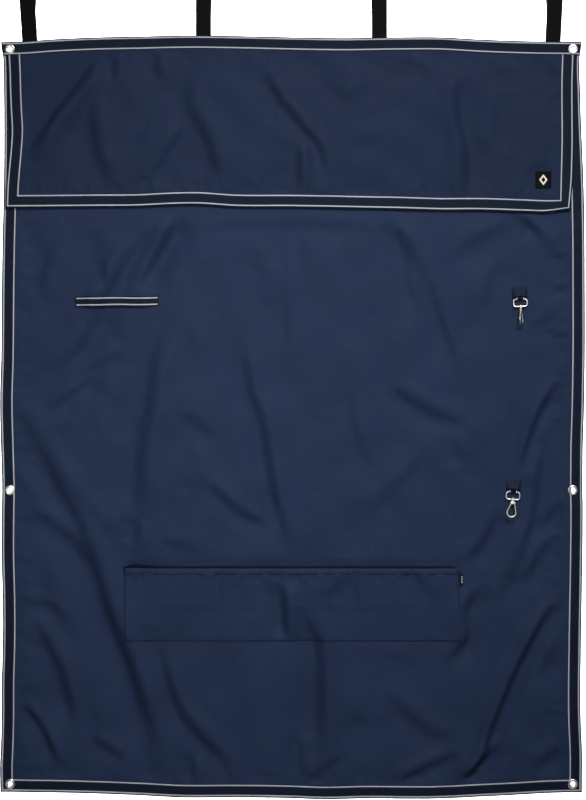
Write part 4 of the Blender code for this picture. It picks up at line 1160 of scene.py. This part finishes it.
class CURTAIN_OT_hook_tapes(Operator):
    """Sew the taped loop and the cloth cover of each snap hook"""

    bl_idname = "curtain.hook_tapes"
    bl_label = "Hook loops and covers"

    def execute(self, context):
        for name in HOOKS:
            holder = turned_frame(name)[0]
            inner = 0.0016 + GAP
            path = [(inner, 0.028 - 0.0020 * k) for k in range(14)]
            path += [(inner * cos(-pi * k / 12), inner * sin(-pi * k / 12)) for k in range(1, 12)]
            path += [(-inner, 0.0020 * k) for k in range(1, 14)]
            path = np.array(path)
            # both runs lean back to the cloth they are sewn to
            lean = smoothstep(0.003, 0.020, path[:, 1])
            path[:, 0] += lean * np.where(path[:, 0] < 0, 0.0047, 0.0018)
            way = np.gradient(path, axis=0)
            way /= np.linalg.norm(way, axis=1)[:, None]
            normal = np.stack([way[:, 1], -way[:, 0]], 1)
            across = np.array([-12.0, -11.6, -10.2, -7.2, -4.0, 0.0, 4.0, 7.2, 10.2, 11.6, 12.0]) / 1000.0
            edge = np.where(np.abs(across) > 0.0118, 0.35, 1.0)
            length_run = np.concatenate([[0], np.cumsum(np.linalg.norm(np.diff(path, axis=0), axis=1))])
            outer, lower = [], []
            for grid, near in ((outer, 0.001), (lower, -0.001)):
                for p, n in zip(path, normal):
                    lift = near * edge * 0.5
                    grid.append([(a, p[0] + n[0] * t, p[1] + n[1] * t) for a, t in zip(across, lift)])
            outer, lower = np.array(outer), np.array(lower)
            picks = np.zeros((len(path) - 1, len(across) - 1), int)
            # the light lines show only where the loop comes out of its cover; under the cover's arch they are left out,
            # painted shade on the darkened tape
            picks[np.ix_((path[:-1, 1] + path[1:, 1]) / 2 < 0.0035, [2, 7])] = 1
            uv = np.stack(np.broadcast_arrays(length_run[:, None], across[None, :] + 0.010), -1)
            skin = thick_grid(placed(outer, holder), placed(lower, holder), uv, None, picks)
            loop = soft_piece(f"{name}_taped_loop", [skin], "curtain", [f"{name}_hook_webbing_loop"], "navy_tape",
                              ["painted_shade_loop_tape", "light_piping"])

            low, high, cover_half, loop_half = 0.004, 0.032, 0.0195, 0.0116
            us = grid_lines(-cover_half, cover_half, 0.0015)
            ds = grid_lines(0.0, 1.0, 0.055)
            v, w = np.meshgrid(ds, us, indexing="ij")
            arch = 0.0046 * (1 - (w / cover_half) ** 2)
            v = low + arch + (high - low - arch) * v
            open_share = 1 - smoothstep(0.004, 0.022, v - low)
            side = 1 - smoothstep(loop_half, cover_half, np.abs(w))
            sewn_lift = 0.0007
            over_loop = 0.0068 * open_share + 0.0024 * (1 - open_share) * smoothstep(high, high - 0.010, v)
            rise = sewn_lift + over_loop * side
            rise = np.maximum(rise + 0.0002 * np.sin(w * 900.0 + v * 500.0) * side, sewn_lift)
            front = np.stack([w, 0.0050 - rise - 0.0010, v], -1)
            back = np.stack([w, 0.0050 - rise - 0.0002, v], -1)
            skin = thick_grid(placed(front, holder), placed(back, holder), np.stack([w + 1.0, v + 8.0], -1))
            # each cover wears the darkened copy of the cloth, painted shade for the shade under it
            cover = soft_piece(f"{name}_cloth_cover", [skin], "curtain", [f"{name}_hook_cover"], "navy_cloth",
                               ["cover_cloth_painted_shade"])
        return {"FINISHED"}


class CURTAIN_OT_badge(Operator):
    """Sew the square badge with its plain woven diamond"""

    bl_idname = "curtain.badge"
    bl_label = "Badge"

    def execute(self, context):
        low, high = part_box("maker_badge")
        centre = (low + high) / 2
        us = np.linspace(low.x, high.x, 97)
        zs = np.linspace(high.z, low.z, 105)
        z, x = np.meshgrid(zs, us, indexing="ij")
        corner = 0.0016
        half = (high - low) / 2
        over = np.minimum(half.x - np.abs(x - centre.x), half.z - np.abs(z - centre.z))
        fall = 1 - smoothstep(0.0, corner, over)
        border = np.exp(-(((over - 0.0022) / 0.0007) ** 2)) * 0.00025
        reach = np.abs(x - centre.x) / 0.0108 + np.abs(z - centre.z) / 0.0142
        middle = (reach[:-1, :-1] + reach[1:, 1:]) / 2
        picks = ((middle < 1.0) & (middle > 0.52)).astype(int)
        mark = ((reach < 1.02) & (reach > 0.50)) * 0.00022
        front = np.stack([x, low.y + 0.0007 * fall - mark - border, z], -1)
        back = np.stack([x, np.full_like(x, high.y), z], -1)
        skin = thick_grid(front, back, np.stack([x, z], -1), None, picks)
        soft_piece("sewn_badge", [skin], "flap", ["maker_badge"], "badge_rubber", ["badge_ground", "badge_mark"],
                   smooth=False)
        return {"FINISHED"}


def webbing_skin(path, half, thickness, matrix, start=0.0):
    """A strap swept along a path of (depth, height), with softened edges, as a closed skin."""
    path = np.array(path, float)
    way = np.gradient(path, axis=0)
    way /= np.linalg.norm(way, axis=1)[:, None]
    normal = np.stack([-way[:, 1], way[:, 0]], 1)
    share = np.array([-1.0, -0.985, -0.94, -0.6, -0.2, 0.2, 0.6, 0.94, 0.985, 1.0])
    full = np.array([0.30, 0.80, 1.0, 0.94, 0.94, 0.94, 0.94, 1.0, 0.80, 0.30]) * thickness / 2
    run = np.concatenate([[0], np.cumsum(np.linalg.norm(np.diff(path, axis=0), axis=1))]) + start
    grids = []
    for sign in (1.0, -1.0):
        y = path[:, 0][:, None] + sign * normal[:, 0][:, None] * full[None, :]
        z = path[:, 1][:, None] + sign * normal[:, 1][:, None] * full[None, :]
        x = np.broadcast_to((share * half)[None, :], y.shape)
        grids.append(placed(np.stack([x, y, z], -1), matrix))
    uv = np.stack(np.broadcast_arrays(run[:, None], (share * half)[None, :]), -1)
    return thick_grid(grids[0], grids[1], uv)


class CURTAIN_OT_straps(Operator):
    """Hang the four webbing straps over the rail, each with its tail and fastener pads"""

    bl_idname = "curtain.straps"
    bl_label = "Straps"

    def execute(self, context):
        half = sizes().webbing_width / 2
        webbing, clearance, pad = 0.0018, 0.020, 0.0012
        radius = clearance + webbing / 2
        sewn = HEM_Z - 0.060
        for name, (hem_x, lean) in STRAPS.items():
            place = Matrix.Translation((hem_x - HEM_Z * sin(radians(lean)), 0, 0))
            place = place @ Matrix.Rotation(radians(lean), 4, "Y")
            path = [(-radius, z) for z in np.linspace(sewn, -0.004, 30)]
            path += [(radius * cos(a), radius * sin(a)) for a in np.linspace(pi, 0, 40)]
            skin = webbing_skin(path, half, webbing, place)
            soft_piece(f"{name}_webbing", [skin], "curtain", [name], "black_webbing")
            closed = -clearance + 3 * GAP + 2 * pad + webbing / 2
            path = []
            for k in range(31):
                share = k / 30
                path.append((radius + (closed - radius) * share * share * (3 - 2 * share), -0.0006 - 0.0594 * share))
            path += [(closed, z) for z in np.linspace(-0.064, -0.108, 10)]
            skin = webbing_skin(path, half, webbing, place, 0.4)
            tail = soft_piece(f"{name}_webbing_tail", [skin], None, [f"{name}_tail"], "black_webbing")
            # the tail bends over its first 12 mm, so that it doesn't part from the strap
            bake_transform(tail)
            front = -clearance + GAP
            for kind, finish_name, depth, body in (
                ("loop", "loop_tape", front, "curtain"),
                ("hook", "hook_tape", front + pad + GAP, f"{name}_tail"),
            ):
                lines_x, lines_z = np.linspace(-half + 0.001, half - 0.001, 20), np.linspace(-0.104, -0.062, 22)
                z, x = np.meshgrid(lines_z, lines_x, indexing="ij")
                rim = np.minimum(half - 0.001 - np.abs(x), 0.021 - np.abs(z + 0.083))
                thin = (1 - smoothstep(0.0, 0.0012, rim)) * 0.0004
                low = placed(np.stack([x, depth + thin, z], -1), place)
                high = placed(np.stack([x, depth + pad - thin, z], -1), place)
                skin = thick_grid(low, high, np.stack([x, z], -1))
                soft_piece(f"{name}_{kind}_patch", [skin], body, [f"{name}_{kind}_pad"], "hook_tape", [finish_name])
        return {"FINISHED"}


# ---------------------------------------------------------------- metal pieces

def active_piece(name):
    """The active object, renamed."""
    piece = bpy.context.object
    piece.name = piece.data.name = name
    return piece


def start_drawing(point):
    """A new mesh of one selected point, in edit mode."""
    if bpy.context.object and bpy.context.object.mode != "OBJECT":
        bpy.ops.object.mode_set(mode="OBJECT")
    bpy.ops.object.select_all(action="DESELECT")
    bpy.ops.mesh.primitive_plane_add(size=0.001, location=(0, 0, 0))
    bpy.ops.object.mode_set(mode="EDIT")
    bpy.ops.mesh.select_mode(type="VERT")
    bpy.ops.mesh.select_all(action="SELECT")
    bpy.ops.mesh.merge(type="CENTER")
    bpy.ops.transform.translate(value=point)


def draw_line(points):
    """Draw a line of edges through points, from a new mesh's first point."""
    start_drawing(points[0])
    for a, b in zip(points[:-1], points[1:]):
        bpy.ops.mesh.extrude_region_move(TRANSFORM_OT_translate={"value": Vector(b) - Vector(a)})


def spun(name, profile, steps):
    """A round piece: a closed profile of (radius, height) spun about the upright axis."""
    points = [(r, 0.0, z) for r, z in profile]
    draw_line([*points, points[0]])
    bpy.ops.mesh.select_all(action="SELECT")
    bpy.ops.mesh.spin(steps=steps, angle=2 * pi, center=(0, 0, 0), axis=(0, 0, 1))
    bpy.ops.mesh.select_all(action="SELECT")
    bpy.ops.mesh.remove_doubles(threshold=0.000002)
    bpy.ops.mesh.dissolve_degenerate(threshold=0.000002)
    bpy.ops.mesh.normals_make_consistent(inside=False)
    bpy.ops.object.mode_set(mode="OBJECT")
    return active_piece(name)


def drill(name, radius, steps):
    """A short upright rod to cut a round hole with."""
    return spun(name, [(0.0, -0.01), (radius, -0.01), (radius, 0.01), (0.0, 0.01)], steps)


def bent_wire(name, start, heading, radius, moves, sides, closed=False):
    """A wire in the upright plane: a round face drawn out in runs and swept round in bends."""
    bpy.ops.object.select_all(action="DESELECT")
    heading = Vector(heading).normalized()
    turn = Vector((0, 0, 1)).rotation_difference(heading).to_euler()
    bpy.ops.mesh.primitive_circle_add(vertices=sides, radius=radius, fill_type="NOTHING" if closed else "NGON",
                                      location=start, rotation=turn)
    bpy.ops.object.transform_apply(location=True, rotation=True, scale=True)
    bpy.ops.object.mode_set(mode="EDIT")
    bpy.ops.mesh.select_mode(type="EDGE" if closed else "FACE")
    bpy.ops.mesh.select_all(action="SELECT")
    place = Vector(start)
    for kind, amount, bend in moves:
        if kind == "run":
            step = heading * amount
            bpy.ops.mesh.extrude_region_move(TRANSFORM_OT_translate={"value": step})
            place = place + step
        else:
            axis = Vector((0, 1, 0)) * (1 if amount > 0 else -1)
            centre = place - bend * heading.cross(axis)
            steps = max(2, int(abs(amount) / radians(7.5)))
            # the spin operator turns the other way from a rotation matrix
            bpy.ops.mesh.spin(steps=steps, angle=-abs(amount), center=centre, axis=axis)
            rotation = Matrix.Rotation(abs(amount), 3, axis)
            place = centre + rotation @ (place - centre)
            heading = rotation @ heading
    bpy.ops.mesh.select_all(action="SELECT")
    bpy.ops.mesh.remove_doubles(threshold=0.00002)
    bpy.ops.mesh.normals_make_consistent(inside=False)
    bpy.ops.object.mode_set(mode="OBJECT")
    return active_piece(name), place, heading


def cast(name, outline, low, high, bevel):
    """A plate: a drawn outline in the upright plane, filled, drawn out in depth and its edges rounded."""
    points = [(x, low, z) for x, z in outline]
    draw_line([*points, points[0]])
    bpy.ops.mesh.select_all(action="SELECT")
    bpy.ops.mesh.remove_doubles(threshold=0.00001)
    bpy.ops.mesh.edge_face_add()
    bpy.ops.mesh.extrude_region_move(TRANSFORM_OT_translate={"value": (0, high - low, 0)})
    bpy.ops.mesh.select_all(action="SELECT")
    bpy.ops.mesh.normals_make_consistent(inside=False)
    bpy.ops.object.mode_set(mode="OBJECT")
    piece = active_piece(name)
    if bevel:
        modifier = piece.modifiers.new("rounded edges", "BEVEL")
        modifier.width, modifier.segments, modifier.limit_method = bevel, 3, "ANGLE"
        bpy.ops.object.modifier_apply(modifier=modifier.name)
    return piece


def combined(base, tools):
    """A piece with others added or cut away."""
    bpy.ops.object.select_all(action="DESELECT")
    base.select_set(True)
    bpy.context.view_layer.objects.active = base
    for operation, tool in tools:
        modifier = base.modifiers.new("join", "BOOLEAN")
        modifier.operation, modifier.object, modifier.solver = operation, tool, "EXACT"
        bpy.ops.object.modifier_apply(modifier=modifier.name)
        bpy.data.objects.remove(tool)
    return base


def finish_metal(piece, matrix, body, nodes, material="nickel"):
    """Smooth a metal piece, put it in its place, give it its finish, hide the frame's pieces it takes the place of and
    attach it to its body.
    """
    bpy.ops.object.select_all(action="DESELECT")
    piece.select_set(True)
    bpy.context.view_layer.objects.active = piece
    bpy.ops.object.shade_smooth_by_angle(angle=radians(38))
    piece.data.transform(matrix @ piece.matrix_world)
    piece.matrix_world = Matrix.Identity(4)
    piece.data.materials.clear()
    piece.data.materials.append(finish_of(material))
    return finish_piece(piece, body, nodes)


def copy_of(master, name):
    """A copy of a modelled piece, with its own mesh."""
    piece = master.copy()
    piece.data = master.data.copy()
    piece.name = piece.data.name = name
    bpy.context.scene.collection.objects.link(piece)
    bpy.context.view_layer.update()
    return piece


class CURTAIN_OT_eyelets(Operator):
    """Spin one eyelet for the front and one washer for the back, and copy them to their holes"""

    bl_idname = "curtain.eyelets"
    bl_label = "Eyelets"

    def execute(self, context):
        masters = {}
        for key, centre in EYELETS.items():
            low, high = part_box(f"eyelet_{key}")
            depth = round(high.y - low.y, 5)
            if ("eyelet", depth) not in masters:
                rear = 0.0014 - depth
                flange = [(0.0122, 0.0000), (0.0124, 0.0004), (0.0118, 0.0010), (0.0104, 0.0014), (0.0088, 0.0014),
                          (0.0073, 0.0010), (0.0064, 0.0002), (0.0060, -0.0008)]
                barrel = [(0.0059, rear + 0.0008), (0.0062, rear + 0.0002), (0.0070, rear), (0.0074, rear + 0.0003),
                          (0.0068, rear + 0.0006), (0.0064, rear + 0.0012), (0.0064, 0.0)]
                masters["eyelet", depth] = spun("eyelet", flange + barrel, 48)
            eyelet = copy_of(masters["eyelet", depth], f"{key}_eyelet")
            turn = Matrix.Translation((centre.x, low.y + 0.0014, centre.z)) @ Matrix.Rotation(radians(90), 4, "X")
            finish_metal(eyelet, turn, "curtain", [f"eyelet_{key}"])
            low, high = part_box(f"eyelet_washer_{key}")
            thick = round(high.y - low.y, 5)
            if ("washer", thick) not in masters:
                ring = [(0.0080, 0.0), (0.0080, thick * 0.7), (0.0084, thick), (0.0114, thick), (0.0119, thick * 0.7),
                        (0.0120, 0.0)]
                masters["washer", thick] = spun("washer", ring, 48)
            washer = copy_of(masters["washer", thick], f"{key}_washer")
            turn = Matrix.Translation((centre.x, low.y, centre.z)) @ Matrix.Rotation(radians(-90), 4, "X")
            finish_metal(washer, turn, "curtain", [f"eyelet_washer_{key}"])
        for master in masters.values():
            bpy.data.objects.remove(master)
        return {"FINISHED"}


def ring_piece(name):
    """The bent wire ring with its bored boss, hanging from its top bar."""
    s = sizes()
    wire, corner = s.ring_radius, 0.0060
    width, height = 0.038 - 2 * wire, 0.022 - 2 * wire
    moves = [("run", width / 2 - corner, 0)]
    for run in (height - 2 * corner, width - 2 * corner, height - 2 * corner):
        moves += [("turn", radians(90), corner), ("run", run, 0)]
    moves += [("turn", radians(90), corner), ("run", width / 2 - corner, 0)]
    ring, _, _ = bent_wire(name, (0, 0, 0), (1, 0, 0), wire, moves, s.wire_sides, closed=True)
    boss = spun("boss", [(0.0, -0.0022), (0.0031, -0.0022), (0.0036, -0.0017), (0.0038, 0.0), (0.0036, 0.0017),
                         (0.0031, 0.0022), (0.0, 0.0022)], 32)
    boss.location.z = -height
    bore = drill("bore", 0.0019, 24)
    bore.location.z = -height
    bpy.context.view_layer.update()
    return combined(ring, [("UNION", boss), ("DIFFERENCE", bore)])


def hook_piece(name):
    """Rivet head, stem, forked shoulder and the bent spine of a snap hook."""
    s = sizes()
    stem = spun(name, [(0.0, 0.0043), (0.0012, 0.0042), (0.0022, 0.0037), (0.0028, 0.0030), (0.0029, 0.0025),
                       (0.0015, 0.0025), (0.0015, -0.0025), (0.0028, -0.0025), (0.0034, -0.0030), (0.0036, -0.0045),
                       (0.0034, -0.0062), (0.0030, -0.0075), (0.0, -0.0075)], 32)
    shoulder = cast("shoulder", [(-0.0040, -0.0058), (0.0038, -0.0058), (0.0060, -0.0074), (0.0074, -0.0088),
                                 (0.0074, -0.0114), (0.0062, -0.0126), (0.0046, -0.0128), (-0.0040, -0.0128),
                                 (-0.0050, -0.0116), (-0.0050, -0.0080)], -0.0030, 0.0030, 0.0009)
    slot_cut = cast("slot", [(0.0017, 0.001), (0.0017, -0.02), (0.02, -0.02), (0.02, 0.001)], -0.0016, 0.0016, 0)
    hole = drill("hole", 0.0010, 16)
    hole.rotation_euler.x = radians(90)
    hole.location = (GATE_PIN[0], 0.0, GATE_PIN[1])
    centre, start, bow = Vector(BOW_CENTRE), Vector((-0.0030, -0.0105)), BOW_RADIUS
    reach = centre - start
    touch = atan2(-reach.y, -reach.x) + pi / 2 - atan2(bow, (reach.length**2 - bow**2) ** 0.5)
    first = centre + Vector((cos(touch), sin(touch))) * bow
    run = first - start
    sweep = 2 * pi + NOSE_ANGLE - touch
    spine, _, _ = bent_wire("spine", (start.x, 0, start.y), (run.x, 0, run.y), s.wire_radius,
                            [("run", run.length, 0), ("turn", -sweep, bow)], s.wire_sides)
    bpy.context.view_layer.update()
    return combined(stem, [("UNION", shoulder), ("DIFFERENCE", slot_cut), ("DIFFERENCE", hole), ("UNION", spine)])


def gate_piece(name):
    """The sprung gate: a knuckle on the pin and a rod that closes on the hook's nose."""
    tip = Vector((BOW_CENTRE[0] + BOW_RADIUS * cos(NOSE_ANGLE) - 0.0003 - GATE_PIN[0],
                  BOW_CENTRE[1] + BOW_RADIUS * sin(NOSE_ANGLE) + 0.0008 - GATE_PIN[1]))
    knuckle = spun(name, [(0.0010, -0.0013), (0.0020, -0.0013), (0.0022, -0.0010), (0.0022, 0.0010),
                          (0.0020, 0.0013), (0.0010, 0.0013)], 28)
    knuckle.rotation_euler.x = radians(90)
    start = Vector((0.0006, -0.0012))
    run = tip - start
    rod, _, _ = bent_wire("rod", (start.x, 0, start.y), (run.x, 0, run.y), 0.0013,
                          [("run", run.length - 0.001, 0), ("run", 0.001, 0)], sizes().wire_sides)
    bpy.context.view_layer.update()
    bore = drill("bore", 0.0010, 16)
    bore.rotation_euler.x = radians(90)
    bpy.context.view_layer.update()
    return combined(knuckle, [("UNION", rod), ("DIFFERENCE", bore)])


class CURTAIN_OT_hooks(Operator):
    """Bend the rings and snap hooks, with their gates and pins"""

    bl_idname = "curtain.hooks"
    bl_label = "Snap hooks"

    def execute(self, context):
        ring, snap, gate = ring_piece("ring"), hook_piece("snap"), gate_piece("gate")
        pin = spun("pin", [(0.0, -0.0031), (0.0005, -0.0031), (0.0007, -0.0029), (0.0007, 0.0029), (0.0005, 0.0031),
                           (0.0, 0.0031)], 20)
        crosswise = Matrix.Rotation(radians(90), 4, "X")
        for name in HOOKS:
            _, ring_frame, swivel_frame, gate_frame = turned_frame(name)
            for master, piece_name, place, body, node, metal in (
                (ring, "ring_wire", ring_frame, "ring", "hook_ring", "ring_nickel"),
                (snap, "snap", swivel_frame, "hook", "hook_body", "hook_nickel"),
                (gate, "snap_gate", gate_frame, "gate", "hook_gate", "hook_nickel"),
                (pin, "snap_pin", gate_frame @ crosswise, "hook", "hook_gate_pin", "hook_nickel"),
            ):
                piece = copy_of(master, f"{name}_{piece_name}")
                finish_metal(piece, place, f"{name}_{body}", [f"{name}_{node}"], metal)
        for master in (ring, snap, gate, pin):
            bpy.data.objects.remove(master)
        return {"FINISHED"}


# ---------------------------------------------------------------- stage

class CURTAIN_OT_stage(Operator):
    """Set the pale floor and backdrop, the soft lights and the camera"""

    bl_idname = "curtain.stage"
    bl_label = "Stage"

    def execute(self, context):
        scene = context.scene
        scene.view_settings.view_transform = "Standard"
        backdrop = bpy.data.materials.new("pale backdrop")
        backdrop.use_nodes = True
        shader = backdrop.node_tree.nodes["Principled BSDF"]
        shader.inputs["Base Color"].default_value = (0.93, 0.93, 0.93, 1.0)
        shader.inputs["Roughness"].default_value = 0.9
        bpy.ops.object.select_all(action="DESELECT")
        for name, size, place, turn in (
            ("floor", 40.0, (0.0, 0.0, -3.0), (0.0, 0.0, 0.0)),
            ("backdrop", 40.0, (0.0, 10.5, 4.0), (radians(90), 0.0, 0.0)),
        ):
            bpy.ops.mesh.primitive_plane_add(size=size, location=place, rotation=turn)
            bpy.ops.object.mode_set(mode="EDIT")
            bpy.ops.mesh.subdivide(number_cuts=3)
            bpy.ops.object.mode_set(mode="OBJECT")
            plane = active_piece(name)
            plane.data.materials.append(backdrop)

        world = bpy.data.worlds.new("studio")
        scene.world = world
        world.use_nodes = True
        world.node_tree.nodes["Background"].inputs["Color"].default_value = (1.0, 1.0, 1.0, 1.0)
        world.node_tree.nodes["Background"].inputs["Strength"].default_value = 0.05
        for name, place, aim, size, spread, power, tint in (
            ("key", (0.95, -3.7, 1.9), (0.0, 0.0, -1.15), 0.9, 58.0, 23.5, (1.0, 1.0, 1.0)),
            ("fill", (-0.5, -2.2, -0.9), (-0.15, 0.0, -0.9), 0.8, 120.0, 7.0, (1.0, 0.92, 0.80)),
            ("back", (0.0, 5.5, 4.5), (0.0, 10.5, 0.5), 4.0, 150.0, 2300.0, (1.0, 1.0, 1.0)),
        ):
            data = bpy.data.lights.new(name, "AREA")
            data.shape, data.size, data.energy, data.color = "SQUARE", size, power, tint
            data.spread = radians(spread)
            light = bpy.data.objects.new(name, data)
            light.location = place
            light.rotation_euler = (Vector(aim) - Vector(place)).to_track_quat("-Z", "Y").to_euler()
            scene.collection.objects.link(light)

        data = bpy.data.cameras.new("camera")
        data.lens, data.sensor_width, data.sensor_fit = 85.0, 36.0, "AUTO"
        camera = bpy.data.objects.new("camera", data)
        camera.location = (0.004, -4.893, -1.053)
        camera.rotation_euler = (radians(90), 0.0, 0.0)
        scene.collection.objects.link(camera)
        scene.camera = camera
        return {"FINISHED"}


class CURTAIN_PT_pieces(Panel):
    """Lists the curtain's pieces and settings"""

    bl_idname = "CURTAIN_PT_pieces"
    bl_label = "Stable curtain"
    bl_space_type = "VIEW_3D"
    bl_region_type = "UI"
    bl_category = "Curtain"

    def draw(self, context):
        column = self.layout.column()
        for step in STEPS:
            column.operator(step.bl_idname)
        for group in (context.scene.curtain_sizes, context.scene.curtain_colours):
            for key in group.__annotations__:
                column.prop(group, key)


STEPS = (
    CURTAIN_OT_stage,
    CURTAIN_OT_cloth,
    CURTAIN_OT_bindings,
    CURTAIN_OT_flap,
    CURTAIN_OT_pocket,
    CURTAIN_OT_keeper,
    CURTAIN_OT_hook_tapes,
    CURTAIN_OT_badge,
    CURTAIN_OT_straps,
    CURTAIN_OT_eyelets,
    CURTAIN_OT_hooks,
)
CLASSES = (CurtainSizes, CurtainColours, *STEPS, CURTAIN_PT_pieces)


def register():
    """Register the classes and the settings."""
    for item in CLASSES:
        bpy.utils.register_class(item)
    bpy.types.Scene.curtain_sizes = PointerProperty(type=CurtainSizes)
    bpy.types.Scene.curtain_colours = PointerProperty(type=CurtainColours)


def unregister():
    """Remove the settings and the classes."""
    del bpy.types.Scene.curtain_colours
    del bpy.types.Scene.curtain_sizes
    for item in reversed(CLASSES):
        bpy.utils.unregister_class(item)


def main():
    """Build the whole curtain."""
    register()
    for step in STEPS:
        group, name = step.bl_idname.split(".")
        if getattr(getattr(bpy.ops, group), name)() != {"FINISHED"}:
            raise RuntimeError(f"{step.bl_label} did not finish")


if __name__ == "__main__":
    main()
